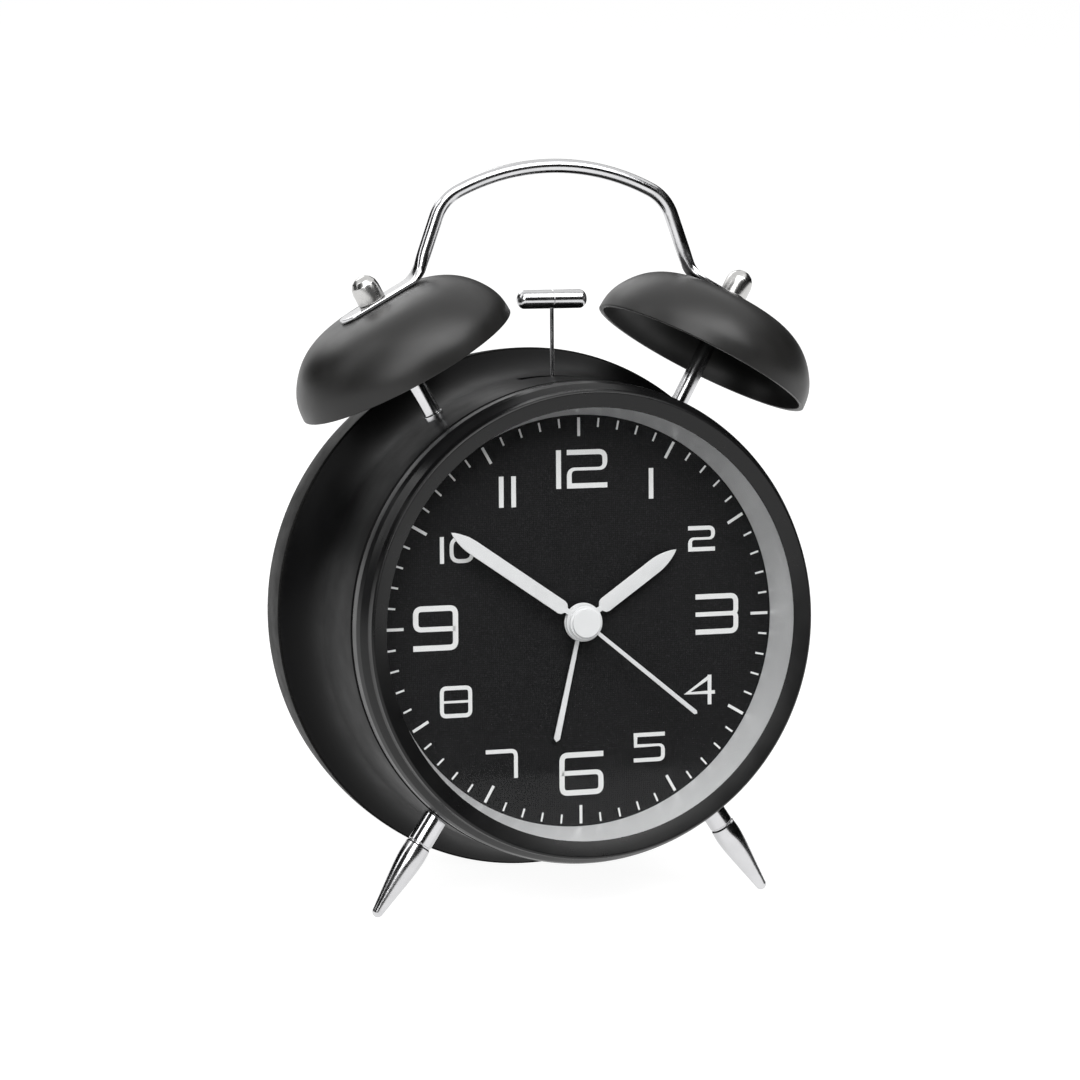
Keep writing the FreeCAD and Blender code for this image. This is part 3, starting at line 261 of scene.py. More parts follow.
# %% Paint finishes
PATCH_MM = 9.0
SCUFF_MM = 1.5
GLOSS_DRIFT = 0.05

# colour, colour where it is rubbed, roughness, peel size and depth in mm, tooth size in mm, sheen
PAINTS = {
    "drum_paint": ((0.004, 0.004, 0.0042), (0.009, 0.009, 0.009), 0.36, 1.1, 0.003, 0.18, 0.05),
    "bezel_paint": ((0.005, 0.005, 0.0052), (0.0065, 0.0065, 0.0065), 0.3, 1.3, 0.0012, 0.2, 0.3),
    "bell_coat": ((0.012, 0.0117, 0.0113), (0.045, 0.045, 0.045), 0.4, 0.5, 0.003, 0.12, 0.42),
}


def paint(name, colour, worn, roughness, peel, depth, tooth, sheen):
    material = start(name, colour, roughness, 0.0, sheen)
    patches = grain(material, PATCH_MM, detail=3.0)
    gloss = spread(material, patches, roughness - GLOSS_DRIFT, roughness + GLOSS_DRIFT)
    feed(material, "Roughness", gloss)
    scuffs = spread(material, grain(material, SCUFF_MM, detail=4.0), 0.0, 1.0, 0.4, 0.6)
    rubbed = maths(material.node_tree, "MULTIPLY", edge_share(material), scuffs)
    lighter = tuple(c * 1.18 for c in colour)
    toned = blend(material, spread(material, patches, 0.0, 1.0), colour, lighter)
    feed(material, "Base Color", blend(material, rubbed, toned, worn))
    skin = emboss(material, grain(material, peel, detail=1.0), depth)
    feed(material, "Normal", emboss(material, grain(material, tooth, detail=2.0), depth * 0.4, skin))
    return material


for name, numbers in PAINTS.items():
    FINISHES[name] = paint(name, *numbers)
print("paints:", ", ".join(PAINTS))

# %% [markdown]
# ## Moulded plastics
# The rear cover, the knobs, the door and the works are moulded. A moulding has a
# fine spark-eroded grain, sharper and more speckled than paint, and its colour
# drifts slightly over a few centimetres where the plastic cooled unevenly.

# %% Plastic finishes
DRIFT_MM = 14.0
SHINE_MM = 5.0

# colour, roughness, grain size and depth in mm, speckle, and a sheen where it isn't 0.4
PLASTICS = {
    "cover_plastic": ((0.008, 0.0078, 0.0076), 0.5, 0.45, 0.012, 0.25, 0.07),
    "knob_black": ((0.02, 0.02, 0.02), 0.42, 0.25, 0.004, 0.1),
    "movement_plastic": ((0.55, 0.55, 0.53), 0.5, 0.4, 0.006, 0.1),
    "gear_plastic": ((0.72, 0.7, 0.64), 0.4, 0.3, 0.003, 0.1),
    "hub_white": ((0.74, 0.74, 0.745), 0.38, 0.2, 0.002, 0.05),
    "board_green": ((0.02, 0.13, 0.05), 0.35, 0.5, 0.003, 0.2),
    "chip_black": ((0.012, 0.012, 0.013), 0.45, 0.2, 0.003, 0.1),
    "cell_wrap": ((0.05, 0.09, 0.2), 0.3, 2.0, 0.003, 0.1),
    "lead_red": ((0.42, 0.02, 0.02), 0.35, 0.4, 0.003, 0.1),
}


def plastic(name, colour, roughness, grain_size, depth, speckle, sheen=0.4):
    material = start(name, colour, roughness, 0.0, sheen)
    drift = spread(material, grain(material, DRIFT_MM, detail=2.0), 0.0, 1.0)
    toned = blend(material, drift, colour, tuple(c * 1.22 for c in colour))
    flecks = spread(material, grain(material, grain_size, detail=1.0), 0.0, speckle, 0.52, 0.72)
    pale = tuple(min(1.0, c * 3.2 + 0.02) for c in colour)
    feed(material, "Base Color", blend(material, flecks, toned, pale))
    gloss = spread(material, grain(material, SHINE_MM, detail=3.0), roughness - 0.06, roughness + 0.06)
    feed(material, "Roughness", gloss)
    feed(material, "Normal", emboss(material, grain(material, grain_size, detail=2.0), depth))
    return material


for name, numbers in PLASTICS.items():
    FINISHES[name] = plastic(name, *numbers)
print("plastics:", ", ".join(PLASTICS))

# %% [markdown]
# ## Plated and bare metal
# Chrome is a near mirror. What makes it look real is that it isn't perfect: the
# polish leaves hairlines along the rod, fingers leave faint dull patches, and the
# plate follows a slightly uneven bar. The hairlines are noise stretched along the
# piece, and the dull patches raise the roughness.

# %% Metal finishes
SMUDGE_MM = 6.0
WAVE_MM = 7.0

# colour, roughness, dull patches, hairline size in mm, its stretch and depth, then waves and metal share
METALS = {
    "chrome": ((0.62, 0.62, 0.63), 0.16, 0.1, 0.08, (1.0, 25.0, 1.0), 0.0005, 0.012),
    "nickel": ((0.58, 0.575, 0.565), 0.2, 0.12, 0.12, (1.0, 4.0, 1.0), 0.002),
    "steel": ((0.56, 0.56, 0.57), 0.3, 0.12, 0.1, (6.0, 1.0, 1.0), 0.0015),
    "copper": ((0.72, 0.33, 0.17), 0.28, 0.1, 0.12, (1.0, 12.0, 1.0), 0.004),
    "magnet": ((0.22, 0.22, 0.23), 0.45, 0.1, 0.15, (1.0, 1.0, 1.0), 0.003),
    "hand_silver": ((0.88, 0.88, 0.885), 0.45, 0.12, 0.14, (1.0, 1.0, 1.0), 0.006, 0.0, 0.2),
    "reflector_silver": ((0.8, 0.8, 0.805), 0.36, 0.1, 0.22, (1.0, 1.0, 1.0), 0.012, 0.0, 0.42),
}


def metal(name, colour, roughness, dullness, hair, stretch, depth, waves=0.0, share=1.0):
    material = start(name, colour, roughness, share)
    smudge = grain(material, SMUDGE_MM, detail=4.0)
    feed(material, "Roughness", spread(material, smudge, roughness, roughness + dullness, 0.45, 0.75))
    shade = tuple(c * 0.9 for c in colour)
    feed(material, "Base Color", blend(material, spread(material, smudge, 0.0, 1.0), colour, shade))
    uneven = emboss(material, grain(material, WAVE_MM, detail=1.0), waves) if waves else None
    hairlines = grain(material, hair, detail=2.0, stretch=stretch)
    feed(material, "Normal", emboss(material, hairlines, depth, uneven))
    return material


for name, numbers in METALS.items():
    FINISHES[name] = metal(name, *numbers)
print("metals:", ", ".join(METALS))

# %% [markdown]
# ## The dial card and its print
# The dial is card with a fine cloth-like tooth, black, and barely glossy. A weave
# is two sets of ridges at right angles: two wave textures, multiplied, and a little
# distorted so that no row is quite even. The print is a flat white ink that covers
# the tooth. Card and print share one slot, so the ink is kept by itself.

# %% Dial finishes
# at scale 1 a wave texture has a ridge every pi / 10 metres
RIDGE_SPAN = math.pi / 10
CLOTH_PITCH_MM = 0.45


def weave(material, pitch):
    where = add(material, "ShaderNodeTexCoord")
    ridges = []
    for direction in ("X", "Z"):
        wave = add(material, "ShaderNodeTexWave", bands_direction=direction)
        wave.inputs["Scale"].default_value = RIDGE_SPAN / (pitch * MM)
        wave.inputs["Distortion"].default_value = 1.5
        wave.inputs["Detail"].default_value = 1.0
        join(material, where.outputs["Object"], wave.inputs["Vector"])
        ridges.append(wave.outputs["Fac"])
    return maths(material.node_tree, "MULTIPLY", *ridges)


def dial_card():
    material = start("dial_card", (0.009, 0.009, 0.0095), 0.6, 0.0, 0.15)
    cloth = weave(material, CLOTH_PITCH_MM)
    ridges = spread(material, cloth, 0.0, 1.0, 0.2, 0.9)
    tone = blend(material, ridges, (0.006, 0.006, 0.0065), (0.015, 0.015, 0.0155))
    flecks = spread(material, grain(material, 0.35, detail=2.0), 0.0, 0.5, 0.5, 0.75)
    feed(material, "Base Color", blend(material, flecks, tone, (0.03, 0.03, 0.031)))
    feed(material, "Roughness", spread(material, grain(material, 3.0, detail=3.0), 0.55, 0.7))
    feed(material, "Normal", emboss(material, cloth, 0.01))
    return material


def dial_ink():
    material = start("dial_ink", (0.85, 0.85, 0.845), 0.55, 0.0, 0.3)
    mottle = grain(material, 0.5, detail=3.0)
    feed(material, "Base Color", blend(material, mottle, (0.86, 0.86, 0.855), (0.8, 0.8, 0.795)))
    feed(material, "Roughness", spread(material, mottle, 0.5, 0.65))
    feed(material, "Normal", emboss(material, grain(material, 0.2, detail=1.0), 0.003))
    return material


FINISHES["dial_print"] = dial_card()
ink = dial_ink()
print("dial finishes:", FINISHES["dial_print"].name, ink.name)

# %% [markdown]
# ## The lens
# The lens is a thin flat sheet of clear plastic. Light has to pass through it twice
# to show the dial, and a path tracer can't aim at a lamp through glass. So the
# sheet shines for the eye and in reflections, and is simply clear to shadow and
# diffuse rays, which is right for a flat pane: it bends nothing. Only the face that
# a ray meets from outside reflects, or a slanting view would find the inner face
# acting as a full mirror and hide the dial.

# %% Lens finish
SHEET_IOR = 1.25
HAZE_MM = 12.0


def clear_sheet():
    material = bpy.data.materials.new("lens_clear")
    material.use_nodes = True
    tree = material.node_tree
    tree.nodes.remove(tree.nodes["Principled BSDF"])
    output = tree.nodes["Material Output"]
    gloss = add(material, "ShaderNodeBsdfGlossy")
    gloss.inputs["Color"].default_value = (1.0, 1.0, 1.0, 1.0)
    haze = spread(material, grain(material, HAZE_MM, detail=3.0), 0.01, 0.06)
    join(material, haze, gloss.inputs["Roughness"])
    clear = add(material, "ShaderNodeBsdfTransparent")
    clear.inputs["Color"].default_value = (0.985, 0.988, 0.988, 1.0)
    fresnel = add(material, "ShaderNodeFresnel")
    fresnel.inputs["IOR"].default_value = SHEET_IOR
    rays = add(material, "ShaderNodeLightPath").outputs
    face = add(material, "ShaderNodeNewGeometry").outputs
    hidden = maths(tree, "MAXIMUM", rays["Is Shadow Ray"], rays["Is Diffuse Ray"])
    unseen = maths(tree, "MAXIMUM", hidden, face["Backfacing"])
    shown = maths(tree, "SUBTRACT", 1.0, unseen)
    mix = add(material, "ShaderNodeMixShader")
    join(material, maths(tree, "MULTIPLY", fresnel.outputs["Fac"], shown), mix.inputs["Fac"])
    join(material, clear.outputs["BSDF"], mix.inputs[1])
    join(material, gloss.outputs["BSDF"], mix.inputs[2])
    join(material, mix.outputs["Shader"], output.inputs["Surface"])
    return material


FINISHES["lens_clear"] = clear_sheet()
print("lens finish:", FINISHES["lens_clear"].name)

# %% [markdown]
# ## Finishes for the construction pieces
# Many pieces of the works keep the shape that the construction model gives them:
# gears, plates, screws and springs are already right. They only need a finish. This
# table lists them under the slot of their finish, and a loop puts it on.

# %% Dress the construction pieces
KEPT = {
    "lens_clear": ["lens"],
    "movement_plastic": [
        "movement_front", "movement_middle", "movement_rear", "dial_carrier", "battery_tray",
    ],
    "gear_plastic": [
        "second_wheel", "third_wheel", "centre_wheel", "cannon_pinion", "minute_wheel", "hour_wheel",
        "intermediate_wheel", "alarm_wheel", "crank_gear", "motor_pinion", "hammer_rocker",
    ],
    "steel": [
        "alarm_arbor", "alarm_contact", "battery_contacts", "battery_springs", "bell_washers",
        "coil_core", "drum_nuts", "quartz_crystal", "small_screws", "stator", "striker_bracket",
        "striker_motor", "striker_pins", "cover_screws",
    ],
    "copper": ["coil"],
    "magnet": ["rotor"],
    "board_green": ["circuit_board"],
    "chip_black": ["circuit_chip"],
    "cell_wrap": ["battery_cells"],
    "lead_red": ["leads"],
    "dial_print": ["dial_plate"],
}


def dress(obj, material):
    obj.data.materials.clear()
    obj.data.materials.append(material)


for slot_name, names in KEPT.items():
    for name in names:
        dress(frame["nodes"][name], FINISHES[slot_name])
print("dressed", sum(len(names) for names in KEPT.values()), "construction pieces")

# %% [markdown]
# ## Mesh helpers
# Nearly every piece of a clock is turned on a lathe or cut from sheet. A turned
# piece is a closed outline swept round an axis. A sheet piece is an outline with a
# small bevel. Real edges are never perfectly sharp, so outlines are written with a
# radius at each corner and `rounded` puts the little arcs in.

# %% Outline helpers
def eased(first, corner, last, t):
    """A place on the soft curve that leaves first towards corner and arrives at last."""
    return (1 - t) ** 2 * first + 2 * t * (1 - t) * corner + t * t * last


def rounded(corners, steps=5):
    """Points of a closed outline whose corners (a, b, radius) are rounded."""
    points = []
    count = len(corners)
    for k, (a, b, radius) in enumerate(corners):
        here = Vector((a, b))
        if radius <= 0:
            points.append(here)
            continue
        before = Vector(corners[k - 1][:2]) - here
        after = Vector(corners[(k + 1) % count][:2]) - here
        half = before.angle(after) / 2
        trim = min(radius / math.tan(half), 0.49 * before.length, 0.49 * after.length)
        first = here + before.normalized() * trim
        last = here + after.normalized() * trim
        points += [eased(first, here, last, s / steps) for s in range(steps + 1)]
    return points


def through(points, steps=8):
    """A smooth line through the points, as a natural cubic spline."""
    knots = [0.0]
    for first, second in zip(points, points[1:]):
        knots.append(knots[-1] + (Vector(second) - Vector(first)).length)
    tracks = [natural(knots, [p[axis] for p in points]) for axis in (0, 1)]
    line = []
    for k in range(len(points) - 1):
        for s in range(steps):
            t = knots[k] + (knots[k + 1] - knots[k]) * s / steps
            line.append(Vector([sample(knots, track, k, t) for track in tracks]))
    return line + [Vector(points[-1])]


def natural(knots, values):
    """Values and second derivatives of the natural cubic spline at its knots."""
    count = len(knots)
    upper = [0.0] * count
    bend = [0.0] * count
    for k in range(1, count - 1):
        left = knots[k] - knots[k - 1]
        gap = knots[k + 1] - knots[k]
        pull = 6 * ((values[k + 1] - values[k]) / gap - (values[k] - values[k - 1]) / left)
        pivot = 2 * (left + gap) - left * upper[k - 1]
        upper[k] = gap / pivot
        bend[k] = (pull - left * bend[k - 1]) / pivot
    for k in range(count - 2, 0, -1):
        bend[k] -= upper[k] * bend[k + 1]
    return list(zip(values, bend))


def sample(knots, track, k, t):
    """The spline's value at t, which lies between knots k and k + 1."""
    gap = knots[k + 1] - knots[k]
    a = (knots[k + 1] - t) / gap
    b = 1.0 - a
    (v0, m0), (v1, m1) = track[k], track[k + 1]
    return a * v0 + b * v1 + ((a ** 3 - a) * m0 + (b ** 3 - b) * m1) * gap * gap / 6


print("outline helpers ready")

# %% [markdown]
# ## From points to a piece
# `solid` builds the mesh, shades it smooth with real creases kept sharp, gives it
# the finish of its slot, stands it in place, hangs it on the body that it rides on
# and hides the construction nodes that it stands for.

# %% Piece helpers
CREASE = 32


def drawn(name, points, faces):
    """A mesh whose places are given in mm."""
    mesh = bpy.data.meshes.new(name)
    mesh.from_pydata([tuple(Vector(p) * MM) for p in points], [], faces)
    return mesh


def mend(mesh, weld=True):
    """Weld doubled corners, and turn every face outward."""
    work = bmesh.new()
    work.from_mesh(mesh)
    if weld:
        bmesh.ops.remove_doubles(work, verts=work.verts, dist=1e-7)
    bmesh.ops.recalc_face_normals(work, faces=work.faces)
    work.to_mesh(mesh)
    work.free()


def solid(name, shape, body, slot, stands_for=(), place=Matrix.Identity(4), crease=CREASE, finish=None):
    obj = linked(name, drawn(name, *shape))
    mend(obj.data)
    return settle(obj, body, slot, stands_for, place, crease, finish)


def settle(obj, body, slot, stands_for, place, crease, finish=None):
    """Finish a piece, stand it in place, hang it on its body and hide the nodes it stands for."""
    soften(obj, crease)
    dress(obj, finish or FINISHES[slot])
    obj.data.transform(CLOCK @ place)
    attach(obj, body)
    if stands_for:
        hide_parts(*stands_for)
    print("%-18s %6d faces, rides on %s" % (obj.name, len(obj.data.polygons), body))
    return obj


def soften(obj, crease):
    for face in obj.data.polygons:
        face.use_smooth = True
    obj.data.set_sharp_from_angle(angle=math.radians(crease))


def turned(corners, sides, wave=None, steps=5):
    """Shape of a closed outline swept round the piece's y axis. A corner is (radius, along, rounding)."""
    points = []
    rings = []
    for r, along in rounded(corners, steps):
        if r < 1e-4:
            rings.append([len(points)])
            points.append((0.0, along, 0.0))
            continue
        rings.append(list(range(len(points), len(points) + sides)))
        for k in range(sides):
            a = 2 * math.pi * k / sides
            reach_r = r + (wave(a, r) if wave else 0.0)
            points.append((reach_r * math.cos(a), along, reach_r * math.sin(a)))
    faces = []
    for first, second in zip(rings, rings[1:] + rings[:1]):
        if len(first) == 1 and len(second) == 1:
            continue
        for k in range(sides):
            n = (k + 1) % sides
            if len(first) == 1:
                faces.append((first[0], second[k], second[n]))
            elif len(second) == 1:
                faces.append((first[k], second[0], first[n]))
            else:
                faces.append((first[k], second[k], second[n], first[n]))
    return points, faces


def stood(x, y, z, lean, up=1.0):
    """Place a turned piece on the drum: its axis leans outward from straight up or down."""
    a = math.radians(lean)
    axis = Vector((math.sin(a), 0.0, up * math.cos(a)))
    depth = Vector((0.0, 1.0, 0.0))
    side = axis.cross(depth)
    place = Matrix((side, axis, side.cross(axis))).transposed().to_4x4()
    place.translation = Vector((x, y, z)) * MM
    return place


print("piece helpers ready")

# %% [markdown]
# ## The drum
# The drum is spun from sheet steel. It is straight near the front and flares out
# to the back in one smooth sweep, which is where the light runs along it. A lathe
# outline gives that exactly. The slot that the hammer comes out of is then cut
# through the top with a boolean, as a punch would cut it.

# %% Drum
DRUM_WALL = 1.2
NECK_RINGS = (4.0, 11.0)
NECK_END = 17.5
FLARE_POWER = 2.1
FLARE_STEPS = 14
SLOT_HALF = 8.0
SLOT_FRONT = 14.3
SLOT_REAR = 18.5
DRUM_SIDES = 224


def flare(inset):
    rise = flare_r - neck_r
    span = drum_high.y - NECK_END
    line = []
    for k in range(FLARE_STEPS + 1):
        t = k / FLARE_STEPS
        line.append((neck_r - inset + rise * t ** FLARE_POWER, NECK_END + span * t, 0.0))
    return line


def as_shown(obj):
    """A mesh of the object with its modifiers and bevels applied."""
    bpy.context.view_layer.update()
    graph = bpy.context.evaluated_depsgraph_get()
    return bpy.data.meshes.new_from_object(obj.evaluated_get(graph))


def cut_away(obj, cutters):
    """Cut holes, then throw the cutters away."""
    for tool in cutters:
        hole = obj.modifiers.new("cut", "BOOLEAN")
        hole.operation = "DIFFERENCE"
        hole.solver = "EXACT"
        hole.object = tool
    mesh = as_shown(obj)
    obj.modifiers.clear()
    old = obj.data
    obj.data = mesh
    bpy.data.meshes.remove(old)
    for tool in cutters:
        bpy.data.objects.remove(tool)


def cutter(points, faces):
    mesh = drawn("cutter", points, faces)
    mend(mesh, weld=False)
    mesh.transform(CLOCK)
    return linked("cutter", mesh)


def cutter_block(low, high):
    corners = [(x, y, z) for x in (low[0], high[0]) for y in (low[1], high[1]) for z in (low[2], high[2])]
    sides = [(0, 1, 3, 2), (4, 6, 7, 5), (0, 4, 5, 1), (2, 3, 7, 6), (0, 2, 6, 4), (1, 5, 7, 3)]
    return cutter(corners, sides)


def make_drum():
    inner_r = neck_r - DRUM_WALL
    corners = [(inner_r, drum_low.y, 0.2), (neck_r, drum_low.y, 0.45)]
    corners += [(neck_r, y, 0.0) for y in NECK_RINGS]
    corners += flare(0.0) + [(flare_r - DRUM_WALL, drum_high.y, 0.3)] + flare(DRUM_WALL)[-2::-1]
    drum = solid("drum", turned(corners, DRUM_SIDES), "case", "drum_paint", ["case_drum"])
    slot_box = cutter_block((-SLOT_HALF, SLOT_FRONT, neck_r - 6), (SLOT_HALF, SLOT_REAR, neck_r + 6))
    cut_away(drum, [slot_box])
    soften(drum, CREASE)


make_drum()

# %% [markdown]
# ## The bezel
# The bezel is a spun ring. A plain funnel face slopes in from a rounded ridge to the
# lens, and outside the ridge a steep wall drops to a groove, then an outer bead runs
# out to the full radius. The ridge and the bead have small radii, and those radii
# are what catch the light as fine lines.

# %% Bezel
RIDGE_IN = 2.2
LIP_IN = 2.85
RING_SIDES = 256


def make_bezel():
    skirt = 2.2
    lip = bore_r - LIP_IN
    inner_r = neck_r - DRUM_WALL - 0.05
    ridge = bezel_r - RIDGE_IN
    nose = bezel_low.y
    seat = drum_low.y - 0.1
    corners = [
        (bore_r, skirt, 0.2),
        (bore_r, lens_front, 0.0),
        (lip, lens_front, 0.1),
        (lip, lens_front - 0.3, 0.15),
        (ridge - 0.1, nose + 0.02, 0.4),
        (ridge + 0.38, nose + 0.45, 0.35),
        (ridge + 0.58, lens_front + 0.6, 0.3),
        (bezel_r - 1.0, lens_front + 1.5, 0.5),
        (bezel_r - 0.42, lens_front + 2.4, 0.9),
        (bezel_r, lens_front + 3.8, 1.0),
        (bezel_r, seat - 0.05, 0.4),
        (inner_r, seat, 0.0),
        (inner_r, skirt, 0.2),
    ]
    solid("bezel", turned(corners, RING_SIDES, steps=6), "case", "bezel_paint", ["front_bezel"])


make_bezel()

# %% [markdown]
# ## The reflector
# Between the glass and the dial stands a sloping ring with a frosted silver face.
# It throws light on the dial, and at this angle its far side shows as a broad
# silver crescent while its near side hides behind the bezel.

# %% Reflector
def make_reflector():
    view_r = -reflector_low.x
    dial_r = bore_r - 4.9
    behind_lens = lens_back + 0.05
    corners = [
        (dial_r, 0.0, 0.1),
        (bore_r - 1.65, behind_lens, 0.25),
        (view_r, behind_lens, 0.1),
        (view_r, lens_back + 1.2, 0.1),
        (dial_r + 1.3, 0.0, 0.1),
    ]
    solid("reflector", turned(corners, RING_SIDES), "case", "reflector_silver", ["reflector_ring"])


make_reflector()

# %% [markdown]
# ## Numerals as ribbons
# The numerals are built like sign-writer's strokes: a centre line with rounded
# corners, and a width that can change from one stretch to the next. `ribbon` walks
# along the line and lays a flat strip with mitred corners, a few hundredths of a
# millimetre proud of the card, as thick ink is. `gathered` makes all strips one shape.

# %% Ribbon helper
INK = 0.05
STROKE_STEP = 0.004


def ribbon_line(nodes, widths, closed):
    """Spots (x, z, half width) along a rounded centre line."""
    count = len(nodes)
    spots = []
    for k, (x, z, radius) in enumerate(nodes):
        before_w = widths[k - 1] if (closed or k > 0) else widths[0]
        after_w = widths[k % len(widths)] if (closed or k < count - 1) else widths[-1]
        here = Vector((x, z))
        if radius <= 0 or (not closed and k in (0, count - 1)):
            spots.append((here, (before_w + after_w) / 4))
            continue
        back = Vector(nodes[k - 1][:2]) - here
        ahead = Vector(nodes[(k + 1) % count][:2]) - here
        trim = min(radius, 0.499 * back.length, 0.499 * ahead.length)
        first = here + back.normalized() * trim
        last = here + ahead.normalized() * trim
        for s in range(9):
            t = s / 8
            spots.append((eased(first, here, last, t), (before_w * (1 - t) + after_w * t) / 2))
    return spots


def ribbon(nodes, widths, closed=False, lift=0.0):
    """Mesh data of one stroke on the dial."""
    spots = ribbon_line(nodes, widths, closed)
    count = len(spots)
    points = []
    for k, (spot, half) in enumerate(spots):
        to_here = spot - spots[k - 1][0] if (closed or k > 0) else spots[1][0] - spot
        onward = spots[(k + 1) % count][0] - spot if (closed or k < count - 1) else spot - spots[k - 1][0]
        u = to_here.normalized()
        v = onward.normalized()
        along = (u + v).normalized()
        side = Vector((-along.y, along.x)) * half / max(0.5, along.dot(u))
        for y in (-INK - lift, 0.02):
            points.append((spot.x + side.x, y, spot.y + side.y))
            points.append((spot.x - side.x, y, spot.y - side.y))
    faces = []
    for k in range(count if closed else count - 1):
        a = 4 * k
        b = 4 * ((k + 1) % count)
        faces += [(a, a + 1, b + 1, b), (a + 2, b + 2, b + 3, a + 3)]
        faces += [(a, b, b + 2, a + 2), (a + 1, a + 3, b + 3, b + 1)]
    if not closed:
        last = 4 * (count - 1)
        faces += [(0, 2, 3, 1), (last, last + 1, last + 3, last + 2)]
    return points, faces


def gathered(parts):
    """Several shapes, each as points and faces, made into one."""
    points = []
    faces = []
    for more, sides in parts:
        faces += [tuple(i + len(points) for i in face) for face in sides]
        points += more
    return points, faces


print("ribbon helper ready")

# %% [markdown]
# ## The digits
# The digits are squared, in the style of a stencil: flat tops, tight round corners
# and thin middle bars. Each one is described in a box of its own width and height,
# so the big quarters and the small hours share the same drawing.

# %% Digit drawings
def digit(shape, w, h, t, r):
    """Strokes of a digit in a box w by h, with strokes t wide and corners r."""
    x = w / 2 - t / 2
    z = h / 2 - t / 2
    thin = t * 0.6
    low = -0.02 * h
    bar = -0.09 * h
    upright = 0.32 * w
    loop = ([(-x, z, r), (x, z, r), (x, -z, r), (-x, -z, r)], [t, t, t, t], True)
    two = [(-w / 2, z, 0), (x, z, r), (x, 0, r), (-x, 0, r), (-x, -z, 0), (w / 2, -z, 0)]
    five = [(w / 2, z, 0), (-x, z, 0), (-x, 0.06 * h, 0), (x, 0.06 * h, r), (x, -z, r), (-w / 2, -z, 0)]
    nine = [(x, low, 0), (-x, low, r), (-x, z, r), (x, z, r), (x, -z, r), (-w / 2, -z, 0)]
    drawings = {
        "1": [([(0, h / 2, 0), (0, -h / 2, 0)], [t])],
        "2": [(two, [t, t, thin, t, t])],
        "3": [
            ([(-w / 2, z, 0), (x, z, r), (x, 0, r * 0.7), (-w / 2, 0, 0)], [t, t, t * 0.85]),
            ([(-w / 2, 0, 0), (x, 0, r * 0.7), (x, -z, r), (-w / 2, -z, 0)], [t * 0.85, t, t]),
        ],
        "4": [
            ([(upright, z, 0), (-x, bar, 0), (w / 2, bar, 0)], [t * 0.9, t * 0.9]),
            ([(upright, h / 2, 0), (upright, -h / 2, 0)], [t]),
        ],
        "5": [(five, [t, t, thin, t, t])],
        "7": [([(-w / 2, z, 0), (x, z, r), (x, -h / 2, 0)], [t, t])],
        "8": [loop, ([(-x, 0, 0), (x, 0, 0)], [thin])],
        "9": [(nine, [t * 0.88, t, t, t, t])],
        "0": [loop],
    }
    if shape == "6":
        return [([(-a, -b, c) for a, b, c in nodes], widths) for nodes, widths in digit("9", w, h, t, r)]
    return drawings[shape]


# middle of the numeral across and up, then its digits: shape, shift, width, height, stroke, corner
HOURS = [
    (0.73, 33.65, [("1", -5.5, 1.2, 8.5, 1.14, 0), ("2", 1.2, 9.5, 8.5, 1.12, 1.5)]),
    (17.05, 29.94, [("1", 0, 1.2, 6.8, 1.08, 0)]),
    (29.1, 17.25, [("2", 0, 6.45, 5.65, 0.92, 1.1)]),
    (32.75, 0.25, [("3", 0, 10.3, 9.05, 1.15, 1.4)]),
    (28.62, -16.69, [("4", 0, 7.15, 6.65, 0.9, 0)]),
    (16.35, -28.85, [("5", 0, 7.45, 6.55, 0.9, 1.1)]),
    (0.19, -33.85, [("6", 0, 10.4, 9.6, 1.2, 1.4)]),
    (-18.49, -30.71, [("7", 0, 7.45, 6.5, 0.9, 1.2)]),
    (-29.0, -16.41, [("8", 0, 7.45, 7.0, 0.9, 1.1)]),
    (-33.54, -0.07, [("9", 0, 10.35, 9.85, 1.22, 1.4)]),
    (-28.45, 16.88, [("1", -3.5, 1.0, 5.85, 0.92, 0), ("0", 1.1, 5.65, 5.85, 0.88, 1.9)]),
    (-16.72, 29.12, [("1", -1.43, 1.2, 6.8, 1.08, 0), ("1", 1.43, 1.2, 6.8, 1.08, 0)]),
]


def make_numerals():
    strokes = []
    for across, up, digits in HOURS:
        lift = 0.0
        for shape, shift, w, h, t, r in digits:
            for nodes, widths, *closed in digit(shape, w, h, t, r):
                moved = [(x + across + shift, z + up, c) for x, z, c in nodes]
                strokes.append(ribbon(moved, widths, bool(closed), lift))
                lift += STROKE_STEP
    solid("numerals", gathered(strokes), "case", "dial_print", finish=ink)


make_numerals()

# %% [markdown]
# ## The minute track
# Sixty short strokes run round the edge of the dial, and every fifth is longer and
# heavier. They are short ribbons too, each pointing at the middle.

# %% Minute track
TRACK_R = 45.0
HOUR_TICK = (4.1, 0.65)
MINUTE_TICK = (2.0, 0.42)


def make_track():
    strokes = []
    for k in range(60):
        length, width = HOUR_TICK if k % 5 == 0 else MINUTE_TICK
        a = math.radians(6 * k)
        ends = [(r * math.sin(a), r * math.cos(a), 0) for r in (TRACK_R - length, TRACK_R)]
        strokes.append(ribbon(ends, [width]))
    solid("minute_track", gathered(strokes), "case", "dial_print", finish=ink)


make_track()

# %% [markdown]
# ## Sheet pieces
# The hands are stamped from thin aluminium. A flat curve with a bevel gives a
# stamped edge: Blender fills the outline, and the bevel rounds it over by a few
# hundredths of a millimetre, so each hand gets a bright rim.

# %% Sheet helper
SHEET_CREASE = 30


